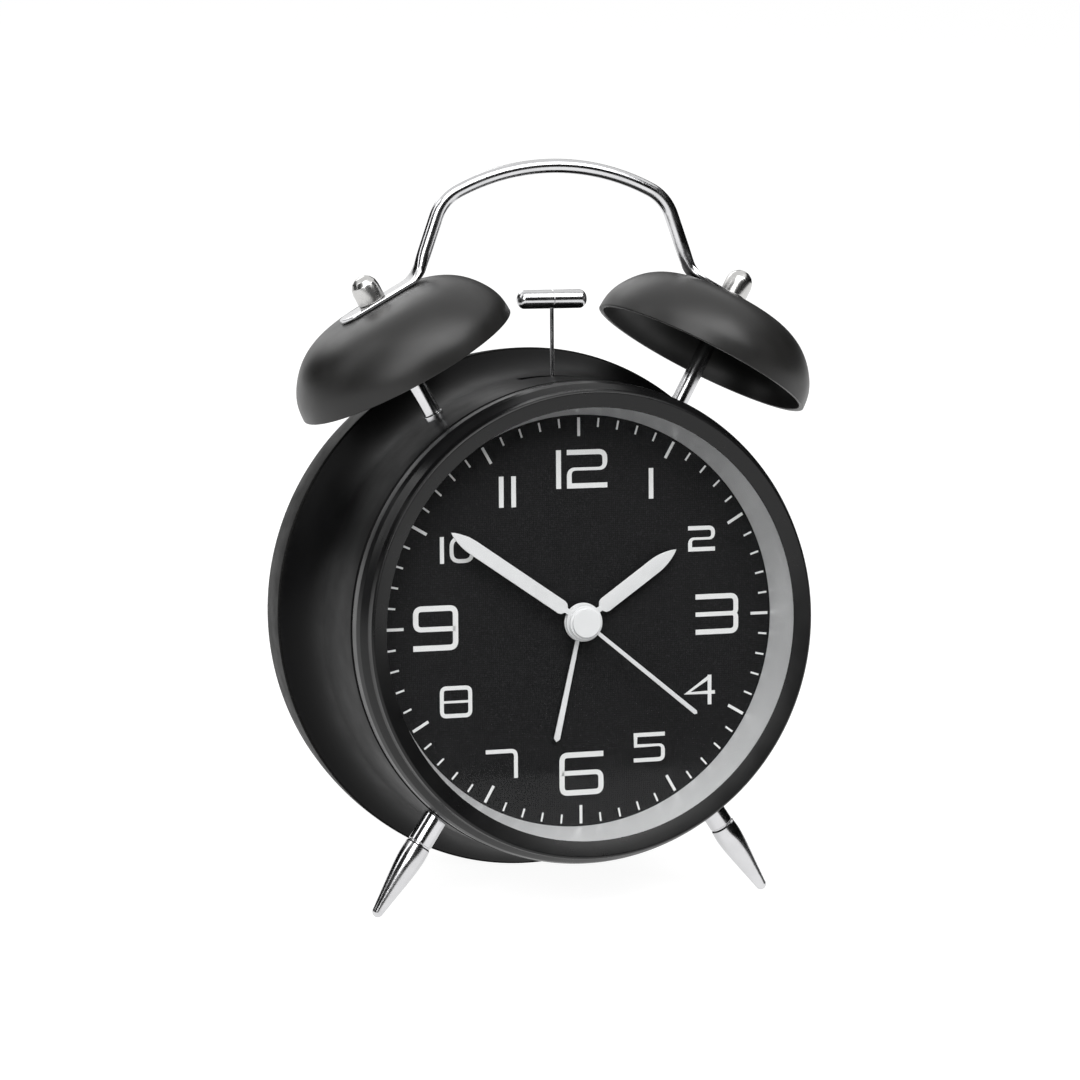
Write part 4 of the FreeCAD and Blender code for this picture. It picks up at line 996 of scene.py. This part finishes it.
def sheet_piece(name, outlines, front, thickness, edge, body, slot, stands_for=()):
    """A plate whose outlines are given in the dial's plane, with its front face at front."""
    curve = bpy.data.curves.new(name, "CURVE")
    curve.dimensions = "2D"
    curve.fill_mode = "BOTH"
    curve.bevel_depth = edge * MM
    curve.bevel_resolution = 2
    curve.offset = -edge * MM
    curve.extrude = (thickness / 2 - edge) * MM
    for outline in outlines:
        spline = curve.splines.new("POLY")
        spline.points.add(len(outline) - 1)
        spline.use_cyclic_u = True
        for point, (x, z) in zip(spline.points, outline):
            point.co = (x * MM, z * MM, 0.0, 1.0)
    blank = linked("blank", curve)
    mesh = as_shown(blank)
    bpy.data.objects.remove(blank)
    bpy.data.curves.remove(curve)
    middle = (front + thickness / 2) * MM
    upright = Matrix(((1, 0, 0, 0), (0, 0, -1, middle), (0, 1, 0, 0), (0, 0, 0, 1)))
    mesh.transform(upright)
    mend(mesh)
    return settle(linked(name, mesh), body, slot, stands_for, Matrix.Identity(4), SHEET_CREASE)


def circle(radius, steps=72):
    turns = [2 * math.pi * k / steps for k in range(steps)]
    return [(radius * math.cos(a), radius * math.sin(a)) for a in turns]


print("sheet helper ready")

# %% [markdown]
# ## The hands
# The hour and minute hands are lances: a thin neck at the hub, straight sides and
# a point that curves in like a pencil. The alarm hand and the sweep second hand
# are plain needles. Each is a blade joined to a collar that grips its tube.

# %% Hands
NECK_HALF = 0.6
POINT_LEN = 6.2
HAND_EDGE = 0.07
COLLAR_STEPS = 48


def blade(half_widths, length, angle, collar_r):
    """Outline of a hand: half widths along its length, then round the collar."""
    a = math.radians(angle)
    left_side = [(-w, d) for w, d in reversed(half_widths)]
    neck = math.degrees(math.asin(half_widths[0][0] / collar_r))
    turn = []
    for k in range(COLLAR_STEPS + 1):
        around = math.radians(neck + (360 - 2 * neck) * k / COLLAR_STEPS)
        turn.append((collar_r * math.sin(around), collar_r * math.cos(around)))
    outline = half_widths + [(0.0, length)] + left_side + turn[-2:0:-1]
    return [(w * math.cos(a) + d * math.sin(a), d * math.cos(a) - w * math.sin(a)) for w, d in outline]


def lance(width, length, collar_r):
    """Half widths of a hand with a thin neck, straight sides and a curved point."""
    steps = [(NECK_HALF, math.sqrt(collar_r ** 2 - NECK_HALF ** 2)), (NECK_HALF, 5.1)]
    steps += [(width * 0.55, 5.3), (width * 0.85, 5.7), (width, 6.4), (width, length - POINT_LEN)]
    for k in range(1, 12):
        share = k / 12
        half = width * math.cos(share * math.pi / 2) ** 0.8
        steps.append((half, length - POINT_LEN + POINT_LEN * share))
    return steps


# half width of a plain blade and distance from the middle, at its root and near its point
NEEDLE = [(0.45, math.sqrt(16 - 0.2)), (0.7, 26.4)]
SWEEP = [(0.42, math.sqrt(2.6 ** 2 - 0.18)), (0.5, 33.5)]

# piece, body, node, front face, length, degrees clockwise from twelve, collar, bore, half widths, thickness
HANDS = [
    ("alarm_needle", "alarm_dial", "alarm_hand", -1.2, 27.1, 193.0, 4.0, 2.4, NEEDLE, 0.4),
    ("hour_lance", "hour", "hour_hand", -2.1, 26.9, 55.6, 4.3, 1.8, lance(1.7, 26.9, 4.3), 0.4),
    ("minute_lance", "minute", "minute_hand", -3.0, 37.2, 304.2, 4.2, 1.25, lance(1.55, 37.2, 4.2), 0.4),
    ("second_needle", "second", "second_hand", -3.8, 34.0, 129.1, 2.6, 0.5, SWEEP, 0.3),
]
for name, body, node, front, length, angle, collar_r, bore, halves, thickness in HANDS:
    outlines = [blade(halves, length, angle, collar_r), circle(bore)]
    sheet_piece(name, outlines, front, thickness, HAND_EDGE, body, "hand_silver", [node])

# %% [markdown]
# ## The hub
# A white cap presses onto the second hand's arbor and hides the holes in the other
# hands. It is two stacked discs with rounded rims, turned as one.

# %% Hub
def make_hub():
    low, high = reach("hub_cap")
    r = high.x
    depth = high.y - low.y
    corners = [
        (0.0, low.y, 0.0),
        (r * 0.86, low.y, 0.3),
        (r * 0.87, low.y + 0.55 * depth, 0.1),
        (r, low.y + 0.6 * depth, 0.2),
        (r, high.y, 0.1),
        (0.0, high.y, 0.0),
    ]
    solid("hub", turned(corners, sides=96), "second", "hub_white", ["hub_cap"])


make_hub()

# %% [markdown]
# ## The bells
# Each bell is a shallow steel dome on a post, with its mouth towards the drum. The
# profile is a smooth line through a few heights, with the same line set in for the
# inside, so that the rim shows its real wall from below.

# %% Bells
POST_AT = (28.534, 14.0, 45.138)
POST_LEAN = 29.0
BELL_R = 25.7
BELL_FOOT = 13.1
BELL_HEIGHT = 15.1
BELL_WALL = 1.1
HOLE_R = 1.5
CROWN = BELL_FOOT + BELL_HEIGHT
# share of the radius, share of the height, from the crown to the rim
DOME = ((0.31, 1.0), (0.55, 0.94), (0.76, 0.77), (0.91, 0.5), (0.985, 0.23), (1.0, 0.0))


def plain_corners(line):
    """Corners without rounding, from the points of a line."""
    return [(p[0], p[1], 0.0) for p in line]


def dome(radius, height):
    line = through([(radius * a, BELL_FOOT + height * b) for a, b in DOME])
    return plain_corners(line)


def make_bell(name, node, side):
    outer = dome(BELL_R, BELL_HEIGHT)
    inner = dome(BELL_R - BELL_WALL, BELL_HEIGHT - BELL_WALL)
    corners = [(HOLE_R, CROWN, 0.0)] + outer[:-1]
    corners += [(BELL_R, BELL_FOOT, 0.4), (BELL_R - BELL_WALL, BELL_FOOT, 0.4)] + inner[-2::-1]
    corners += [(HOLE_R, CROWN - BELL_WALL, 0.0)]
    place = stood(side * POST_AT[0], POST_AT[1], POST_AT[2], side * POST_LEAN)
    solid(name, turned(corners, sides=192), "case", "bell_coat", [node], place)


make_bell("left_bell", "bell_left", -1)
make_bell("right_bell", "bell_right", 1)

# %% [markdown]
# ## Posts and cap nuts
# Each bell stands on a plated post with a slight foot on the drum. Above the
# crown the post's thread takes a domed cap nut, which clamps the bell and the
# handle's flattened foot together.

# %% Posts and nuts
POST_R = 1.9
POST_LOW = -0.6
PLATE_T = 1.1
PLATE_TOP = CROWN + PLATE_T
CAP_R = 3.1
CAP_H = 6.1


def make_post_mesh():
    top = CROWN - BELL_WALL - 0.6
    foot_r = POST_R + 0.3
    return turned([
        (0.0, POST_LOW, 0.0),
        (foot_r, POST_LOW, 0.0),
        (foot_r, 0.9, 0.2),
        (POST_R, 1.1, 0.2),
        (POST_R, top, 0.15),
        (0.0, top, 0.0),
    ], sides=64)


def make_nut_mesh():
    """A cap nut whose dome is a quarter circle in four steps."""
    return turned([
        (0.0, PLATE_TOP, 0.0),
        (CAP_R, PLATE_TOP, 0.3),
        (CAP_R, PLATE_TOP + CAP_H - CAP_R, 0.0),
        (CAP_R * 0.924, PLATE_TOP + CAP_H - CAP_R * 0.617, 0.8),
        (CAP_R * 0.707, PLATE_TOP + CAP_H - CAP_R * 0.293, 0.8),
        (CAP_R * 0.383, PLATE_TOP + CAP_H - CAP_R * 0.076, 0.8),
        (0.0, PLATE_TOP + CAP_H, 0.0),
    ], sides=64)


def pair_of(name, shape, slot, node, at, lean, up=1.0):
    """The same turned piece on both sides of the clock, as one object."""
    points, faces = shape
    both = []
    for side in (-1, 1):
        place = stood(side * at[0], at[1], at[2], side * lean, up)
        both.append(([tuple(place @ (Vector(p) * MM) / MM) for p in points], faces))
    solid(name, gathered(both), "case", slot, [node])


pair_of("posts", make_post_mesh(), "chrome", "bell_posts", POST_AT, POST_LEAN)
pair_of("domed_nuts", make_nut_mesh(), "nickel", "cap_nuts", POST_AT, POST_LEAN)

# %% [markdown]
# ## The handle
# The handle is one chrome rod. Its ends are flattened into tongues that lie on the
# bells under the cap nuts, and it rises from them, bends at two knees and arches
# over the top. A single section is swept along the whole line and changes from a
# flat bar with rounded edges to a round rod, as the press left it.

# %% Handle
ROD_R = 1.6
HANDLE_TOP = 100.0
ARCH_R = 51.0
KNEE = (27.8, 89.0)
TONGUE_HALF = 3.5
TONGUE_OUT = 8.4
TONGUE_IN = 11.4
SECTION_SIDES = 28
FLAT = 5.0
ROUND = 2.0
FOOT_EASE = 2.6
# half width, half thickness and squareness where the pressed bar starts to be a rod
PRESSED = (2.1, 1.35, 2.4)
BEND_STEPS = 16
ARCH_STEPS = 40
# the angles of a quarter turn, for rounded ends
QUARTER = [math.pi / 2 * k / 8 for k in range(9)]


def tongue_spot(t):
    """A place on the right tongue's centre line, t mm outside the post."""
    a = math.radians(POST_LEAN)
    s = CROWN + PLATE_T / 2
    across = POST_AT[0] + s * math.sin(a) + t * math.cos(a)
    return Vector((across, POST_AT[2] + s * math.cos(a) - t * math.sin(a)))


def half_handle():
    """Places and section sizes (half width, half thickness, squareness) from the tongue up."""
    line = []
    for a in QUARTER:
        t = TONGUE_OUT - TONGUE_HALF + TONGUE_HALF * math.cos(a)
        line.append((tongue_spot(t), max(0.5, TONGUE_HALF * math.sin(a)), PLATE_T / 2, FLAT))
    foot = tongue_spot(-TONGUE_IN)
    knee = Vector(KNEE)
    for t in (0.0, -4.0, -7.0):
        line.append((tongue_spot(t), TONGUE_HALF, PLATE_T / 2, FLAT))
    lay = (tongue_spot(0.0) - foot).normalized()
    climb = (knee - foot).normalized()
    for k in range(9):
        t = k / 8
        swell = t * t * (3 - 2 * t)
        tongue = (TONGUE_HALF, PLATE_T / 2, FLAT)
        wide, thick, square = [a + (b - a) * swell for a, b in zip(tongue, PRESSED)]
        spot = eased(foot + lay * FOOT_EASE, foot, foot + climb * FOOT_EASE, t)
        line.append((spot, wide, thick, square))
    line.append((foot + climb * 4.5, 1.68, 1.55, 2.1))
    line.append((foot + climb * 6.0, ROD_R, ROD_R, ROUND))
    line += arch_line(foot, knee)
    return line


def arch_line(foot, knee):
    """The straight leg's end, the bend at the knee and half of the arch."""
    centre = Vector((0.0, HANDLE_TOP - ARCH_R))
    run = (knee - foot).normalized()
    inward = Vector((-run.y, run.x))
    arm = knee - centre
    bend_r = (ARCH_R ** 2 - arm.dot(arm)) / (2 * (ARCH_R + arm.dot(inward)))
    hub_at = knee + inward * bend_r
    first = math.atan2(-inward.y, -inward.x)
    last = math.atan2(hub_at.y - centre.y, hub_at.x - centre.x)
    line = []
    for k in range(BEND_STEPS + 1):
        a = first + (last - first) * k / BEND_STEPS
        line.append(hub_at + bend_r * Vector((math.cos(a), math.sin(a))))
    for k in range(1, ARCH_STEPS + 1):
        a = last + (math.pi / 2 - last) * k / ARCH_STEPS
        line.append(centre + ARCH_R * Vector((math.cos(a), math.sin(a))))
    return [(spot, ROD_R, ROD_R, ROUND) for spot in line]


def swept(line, depth):
    """Mesh data of a changing section swept along a line in the plane at this depth."""
    points = []
    count = len(line)
    for k, (spot, wide, thick, square) in enumerate(line):
        before = line[max(k - 1, 0)][0]
        after = line[min(k + 1, count - 1)][0]
        along = (after - before).normalized()
        normal = Vector((-along.y, along.x))
        for s in range(SECTION_SIDES):
            a = 2 * math.pi * s / SECTION_SIDES
            c = math.copysign(abs(math.cos(a)) ** (2 / square), math.cos(a))
            n = math.copysign(abs(math.sin(a)) ** (2 / square), math.sin(a))
            at = spot + normal * (thick * n)
            points.append((at.x, depth + wide * c, at.y))
    last = len(points) - SECTION_SIDES
    faces = [tuple(range(SECTION_SIDES)), tuple(reversed(range(last, len(points))))]
    for k in range(count - 1):
        for s in range(SECTION_SIDES):
            n = (s + 1) % SECTION_SIDES
            a = k * SECTION_SIDES
            b = a + SECTION_SIDES
            faces.append((a + s, a + n, b + n, b + s))
    return points, faces


def make_handle():
    half = half_handle()
    other = [(Vector((-p.x, p.y)), w, t, q) for p, w, t, q in reversed(half[:-1])]
    solid("carry_handle", swept(half + other, POST_AT[1]), "case", "chrome", ["handle"], crease=50)


make_handle()

# %% [markdown]
# ## The legs
# The legs are turned pins that screw into the drum. Each has a straight shoulder,
# a narrow groove and a long taper to a rounded tip.

# %% Legs
LEG_AT = (32.211, 5.5, -42.592)
LEG_LEAN = 34.0
LEG_LEN = 25.3
LEG_R = 2.85
TIP_R = 1.25
LEG_ROOT = -1.2
SHOULDER_END = 6.45
GROOVE = (6.6, 6.85)


def make_leg_mesh():
    tip = LEG_LEN - TIP_R
    shoulder_r = LEG_R - 0.1
    groove_r = LEG_R - 0.28
    swell_r = LEG_R + 0.12
    taper = through([(LEG_R, 7.2), (swell_r, 9.5), (LEG_R, 12.0), (LEG_R * 0.76, 17.5), (TIP_R, tip)])
    corners = [(0.0, LEG_ROOT, 0.0), (shoulder_r, LEG_ROOT, 0.0), (shoulder_r, SHOULDER_END, 0.12)]
    corners += [(groove_r, along, 0.08) for along in GROOVE]
    corners += plain_corners(taper)
    corners += [(TIP_R * math.cos(a), tip + TIP_R * math.sin(a), 0.0) for a in QUARTER[1:-1]]
    corners.append((0.0, LEG_LEN, 0.0))
    return turned(corners, sides=72)


pair_of("feet", make_leg_mesh(), "chrome", "legs", LEG_AT, LEG_LEAN, -1.0)

# %% [markdown]
# ## The hammer
# A thin steel stem rises through the slot and carries a short chrome bar with
# rounded ends. The bar is pressed on from two halves, which leaves a fine seam in
# the middle.

# %% Hammer
def lying(x, y, z):
    """Place a turned piece with its axis to the right."""
    place = Matrix(((0, 1, 0, 0), (-1, 0, 0, 0), (0, 0, 1, 0), (0, 0, 0, 1)))
    place.translation = Vector((x, y, z)) * MM
    return place


def make_hammer():
    low, high = reach("hammer_head")
    half = (high.x - low.x) / 2
    r = (high.z - low.z) / 2
    corners = [(0.0, -half, 0.0)]
    corners += [(r * math.sin(a), -half + r * 0.8 * (1 - math.cos(a)), 0.0) for a in QUARTER[1:]]
    corners += [(r, -0.12, 0.05), (r - 0.12, 0.0, 0.0)]
    corners += [(a, -b, c) for a, b, c in corners[-2::-1]]
    place = lying(*((low + high) / 2))
    solid("striker_bar", turned(corners, sides=64), "hammer", "chrome", ["hammer_head"], place)
    low, high = reach("hammer_stem")
    middle = (low + high) / 2
    r = (high.x - low.x) / 2
    corners = [(0.0, low.z, 0.0), (r, low.z, 0.0), (r, high.z, 0.0), (0.0, high.z, 0.0)]
    place = stood(middle.x, middle.y, 0.0, 0.0)
    solid("striker_stem", turned(corners, sides=32), "hammer", "chrome", ["hammer_stem"], place)


make_hammer()

# %% [markdown]
# ## The rear cover
# The cover is one moulding: a rounded band that shows behind the drum from the
# front, and a flat plate with the openings for the controls. It is turned like the
# drum, and its openings are cut where the construction model has the door, the
# knobs and the screws. The switch slides in a slot longer than itself, so the size
# of that slot is written here.

# %% Rear cover
COVER_T = 1.8
COVER_SUNK = 1.0
SWITCH_LOW = Vector((-5.3, 0.0, 36.5))
SWITCH_HIGH = Vector((5.3, 0.0, 39.5))
SHAFT_HOLE_R = 1.3
SCREW_WELL_R = 2.9
SCREW_WELL_DEPTH = 1.4
SCREW_HEAD_R = 2.6
DOOR_GAP = 0.3
plate_rear = cover_high.y - COVER_SUNK


def soft_box(low, high, radius):
    """A rectangle across the dial's plane with rounded corners."""
    corners = ((low.x, low.z), (high.x, low.z), (high.x, high.z), (low.x, high.z))
    return rounded([(x, z, radius) for x, z in corners])


def make_cover():
    band_r = cover_high.x
    rear = cover_high.y
    plate_front = plate_rear - COVER_T
    skirt_r = flare_r - 3.2
    rear_r = band_r - 1.3
    band_front = drum_high.y + 0.3
    belly = (band_r - 0.45, (band_front + rear) / 2)
    side = through([(band_r, band_front + 0.3), belly, (rear_r, rear - 0.5)], 6)
    corners = [(0.0, plate_front, 0.0), (skirt_r - 1.2, plate_front, 0.0)]
    corners += [(skirt_r - 1.2, cover_low.y, 0.0), (skirt_r + 0.5, cover_low.y, 0.1)]
    corners += [(skirt_r + 1.4, band_front, 0.0), (band_r, band_front, 0.35)]
    corners += plain_corners(side[1:])
    corners += [(rear_r - 0.15, rear - 0.1, 0.0), (rear_r - 0.5, rear, 0.0), (rear_r - 1.4, rear, 0.3)]
    corners += [(rear_r - 1.8, plate_rear, 0.3), (0.0, plate_rear, 0.0)]
    shape = turned(corners, DRUM_SIDES)
    cover = solid("rear_cover", shape, "case", "cover_plastic", ["back_cover"])
    cut_away(cover, cover_cutters(plate_front - 1.0, plate_rear + 0.6))
    soften(cover, CREASE)


def cover_cutters(front, rear):
    """The openings for the door, the switch, the knobs' shafts and the screws."""
    low, high = reach("battery_door")
    low = Vector((low.x - DOOR_GAP, 0.0, low.z - DOOR_GAP))
    high = Vector((high.x + DOOR_GAP, 0.0, high.z + DOOR_GAP))
    tools = [prism(soft_box(low, high, 1.0), front, rear)]
    tools.append(prism(soft_box(SWITCH_LOW, SWITCH_HIGH, 1.0), front, rear))
    for node in ("time_knob", "alarm_knob"):
        low, high = reach(node)
        centre = (low + high) / 2
        hole = circle(SHAFT_HOLE_R, 32)
        tools.append(prism([(centre.x + x, centre.z + z) for x, z in hole], front, rear))
    ring = reach("cover_screws")[1].z - SCREW_HEAD_R
    for angle in (90, 210, 330):
        x = ring * math.cos(math.radians(angle))
        z = ring * math.sin(math.radians(angle))
        well = circle(SCREW_WELL_R, 40)
        tools.append(prism([(x + a, z + b) for a, b in well], plate_rear - SCREW_WELL_DEPTH, rear))
    return tools


def prism(outline, front, rear):
    count = len(outline)
    points = [(x, y, z) for y in (front, rear) for x, z in outline]
    faces = [tuple(range(count)), tuple(reversed(range(count, 2 * count)))]
    faces += [(k, (k + 1) % count, (k + 1) % count + count, k + count) for k in range(count)]
    return cutter(points, faces)


make_cover()

# %% [markdown]
# ## The controls on the back
# Two fluted knobs set the time and the alarm. They are turned with a wavy radius.

# %% Knobs
FLUTES = 18
FLUTE_DEPTH = 0.42
FLUTED_FROM = 5.6
KNOB_SIDES = 216


def flutes(a, r):
    """How far the wall moves in at angle a. Nothing inside FLUTED_FROM moves."""
    if r <= FLUTED_FROM:
        return 0.0
    return -FLUTE_DEPTH * max(0.0, math.cos(FLUTES * a)) ** 3


def make_knob(name, node, body):
    low, high = reach(node)
    centre = (low + high) / 2
    r = (high.z - low.z) / 2
    corners = [
        (0.0, low.y, 0.0),
        (r, low.y, 0.3),
        (r, high.y, 0.7),
        (r - 1.8, high.y, 0.3),
        (r - 2.1, high.y - 0.8, 0.3),
        (0.0, high.y - 0.8, 0.0),
    ]
    place = Matrix.Translation(Vector((centre.x, 0.0, centre.z)) * MM)
    solid(name, turned(corners, KNOB_SIDES, flutes), body, "knob_black", [node], place, crease=40)


make_knob("time_grip", "time_knob", "minute_set")
make_knob("alarm_grip", "alarm_knob", "alarm_set")

# %% [markdown]
# ## The door and the switch
# A ribbed door covers the cells and a slide switches the alarm. Both are sheet
# pieces with soft edges. Their ribs are drawn as small sheet pieces of their own
# and then joined on, because a moulding is one piece.

# %% Door and switch
DOOR_RIB_HALF = 7.0
DOOR_RIB_PITCH = 1.6
DOOR_RIB_DOWN = 2.6
DOOR_RIB_H = 0.8
SLIDE_RIB_PITCH = 1.6
# half sizes across and up
THUMB_HALF = (3.4, 2.6)
STEM_HALF = (2.0, 1.2)
SLIDE_RIB_HALF = (0.4, 2.3)


def boxed(mid, half_x, half_z, radius):
    """A soft box round a middle."""
    low = Vector((mid.x - half_x, 0.0, mid.z - half_z))
    high = Vector((mid.x + half_x, 0.0, mid.z + half_z))
    return soft_box(low, high, radius)


def merge(first, others):
    """Join the others to the first, and take them out of the scene."""
    work = bmesh.new()
    for obj in [first] + others:
        work.from_mesh(obj.data)
    work.to_mesh(first.data)
    work.free()
    for obj in others:
        bpy.data.objects.remove(obj)


def make_door():
    low, high = reach("battery_door")
    box = soft_box(low, high, 1.0)
    door = sheet_piece(
        "cell_door", [box], low.y, plate_rear - low.y, 0.25, "door", "cover_plastic", ["battery_door"],
    )
    ribs = []
    for k in range(3):
        top = high.z - DOOR_RIB_DOWN - DOOR_RIB_PITCH * k
        rib_low = Vector((-DOOR_RIB_HALF, 0.0, top - DOOR_RIB_H))
        rib = soft_box(rib_low, Vector((DOOR_RIB_HALF, 0.0, top)), 0.3)
        ribs.append(sheet_piece("raised", [rib], plate_rear - 0.3, 0.8, 0.2, "door", "cover_plastic"))
    merge(door, ribs)


def make_switch():
    low, high = reach("alarm_switch")
    mid = (low + high) / 2
    thumb = boxed(mid, *THUMB_HALF, 0.5)
    switch = sheet_piece(
        "alarm_slide", [thumb], plate_rear + 0.3, 2.1, 0.3, "switch", "knob_black", ["alarm_switch"],
    )
    stem = boxed(mid, *STEM_HALF, 0.2)
    extra = [sheet_piece("raised", [stem], low.y, plate_rear + 0.6 - low.y, 0.1, "switch", "knob_black")]
    rib_front = plate_rear + 2.1
    rib_t = high.y - rib_front
    for shift in (-SLIDE_RIB_PITCH, 0.0, SLIDE_RIB_PITCH):
        rib = boxed(Vector((mid.x + shift, 0.0, mid.z)), *SLIDE_RIB_HALF, 0.2)
        extra.append(sheet_piece("raised", [rib], rib_front, rib_t, 0.15, "switch", "knob_black"))
    merge(switch, extra)


make_door()
make_switch()

# %% [markdown]
# ## Floor and light
# The clock stands on a plain pale floor under soft light. A camera ray that sees
# the floor gets its white with only a faint shadow left. Glossy and transmitted
# rays get the same white, so metal and glass show the floor that they stand on.

# %% Floor
FLOOR_HALF = 6.0
FLOOR_TONE = 0.3
FLOOR_SEEN = 0.94


def seen_share(tree, share):
    """The share for camera, glossy and transmitted rays, and nothing for all others."""
    rays = tree.nodes.new("ShaderNodeLightPath").outputs
    mirrored = maths(tree, "MAXIMUM", rays["Is Glossy Ray"], rays["Is Transmission Ray"])
    seen = maths(tree, "MAXIMUM", rays["Is Camera Ray"], mirrored)
    return maths(tree, "MULTIPLY", seen, share)


def make_floor():
    mesh = bpy.data.meshes.new("floor")
    corners = [(-FLOOR_HALF, -FLOOR_HALF, 0), (FLOOR_HALF, -FLOOR_HALF, 0)]
    corners += [(FLOOR_HALF, FLOOR_HALF, 0), (-FLOOR_HALF, FLOOR_HALF, 0)]
    mesh.from_pydata(corners, [], [(0, 1, 2, 3)])
    floor = linked("floor", mesh)
    material = start("floor_paint", (FLOOR_TONE, FLOOR_TONE, FLOOR_TONE), 0.9, 0.0, 0.0)
    shader_of(material).inputs["Emission Color"].default_value = (1.0, 1.0, 1.0, 1.0)
    feed(material, "Emission Strength", seen_share(material.node_tree, FLOOR_SEEN))
    dress(floor, material)


make_floor()
print("floor ready")

# %% [markdown]
# ## A dark screen round the clock
# Chrome is only as good as what it reflects. A studio keeps the room round polished
# metal dark, so that the soft lamps show in it as clean bright bands with black
# between them, and glass stays clear. This curved screen is highest behind the
# camera and runs nearly all the way round, falling to its ends behind the clock.
# Reflections show it, with the white floor below it and the white room above. The
# eye doesn't see it, and it casts no shadow and dims no lamp.

# %% Dark screen
SCREEN_R = 2.6
SCREEN_MIDDLE = 0.1
SCREEN_HALF_TURN = 166.0
SCREEN_LOW = -4.0
SCREEN_TOP = 52.0
SCREEN_END_TOP = 16.0
SCREEN_ACROSS = 48
SCREEN_UP = 12


def make_screen():
    points = []
    for j in range(SCREEN_UP + 1):
        for k in range(SCREEN_ACROSS + 1):
            share = 2 * k / SCREEN_ACROSS - 1
            a = math.radians(SCREEN_HALF_TURN * share)
            top = SCREEN_TOP - (SCREEN_TOP - SCREEN_END_TOP) * share * share
            rise = math.radians(SCREEN_LOW + (top - SCREEN_LOW) * j / SCREEN_UP)
            level = SCREEN_R * math.cos(rise)
            up = SCREEN_MIDDLE + SCREEN_R * math.sin(rise)
            points.append((level * math.sin(a), -level * math.cos(a), up))
    row = SCREEN_ACROSS + 1
    starts = [j * row + k for j in range(SCREEN_UP) for k in range(SCREEN_ACROSS)]
    mesh = bpy.data.meshes.new("dark_screen")
    mesh.from_pydata(points, [], [(a, a + 1, a + row + 1, a + row) for a in starts])
    screen = linked("dark_screen", mesh)
    dress(screen, start("dark_cloth", (0.02, 0.02, 0.02), 0.9, 0.0, 0.0))
    screen.visible_camera = False
    screen.visible_diffuse = False
    screen.visible_shadow = False
    screen.visible_volume_scatter = False


make_screen()
print("dark screen ready")

# %% [markdown]
# ## The lamps and the room
# A big soft lamp overhead does most of the work, a key lamp from the left draws the
# shapes, a strip lights the side, and a weak one behind keeps the back legible. The
# room is white to the eye, and in reflections where the screen leaves it open. For
# all else it is a plain soft fill.

# %% Lamps and world
MIDDLE_UP = 0.08
CLOCK_MIDDLE = Vector((0.0, 0.0, MIDDLE_UP))
ROOM_LIGHT = 0.15

# azimuth to the left of straight ahead, elevation, distance in metres, then size in metres, and watts
LAMPS = {
    "top_softbox": (-5, 58, 1.1, (1.3, 0.7), 12.5),
    "key_softbox": (38, 28, 1.2, (0.6, 0.6), 5.2),
    "left_strip": (104, 34, 1.0, (0.22, 0.6), 1.0),
    "rear_softbox": (170, 30, 1.2, (0.8, 0.5), 1.6),
}


def add_lamp(name, azimuth, elevation, distance, size, power):
    data = bpy.data.lights.new(name, "AREA")
    data.shape = "RECTANGLE"
    data.size, data.size_y = size
    data.energy = power
    lamp = linked(name, data)
    a = math.radians(azimuth)
    e = math.radians(elevation)
    level = distance * math.cos(e)
    lamp.location = (-level * math.sin(a), -level * math.cos(a), MIDDLE_UP + distance * math.sin(e))
    lamp.rotation_euler = (CLOCK_MIDDLE - lamp.location).to_track_quat("-Z", "Y").to_euler()


def make_world():
    world = bpy.data.worlds.new("room")
    world.use_nodes = True
    bpy.context.scene.world = world
    tree = world.node_tree
    background = tree.nodes["Background"]
    background.inputs["Color"].default_value = (1.0, 1.0, 1.0, 1.0)
    level = maths(tree, "MAXIMUM", seen_share(tree, 1.0), ROOM_LIGHT)
    tree.links.new(level, background.inputs["Strength"])


make_world()
for name, numbers in LAMPS.items():
    add_lamp(name, *numbers)
bpy.context.scene.view_settings.view_transform = "Standard"
print("lamps:", ", ".join(LAMPS))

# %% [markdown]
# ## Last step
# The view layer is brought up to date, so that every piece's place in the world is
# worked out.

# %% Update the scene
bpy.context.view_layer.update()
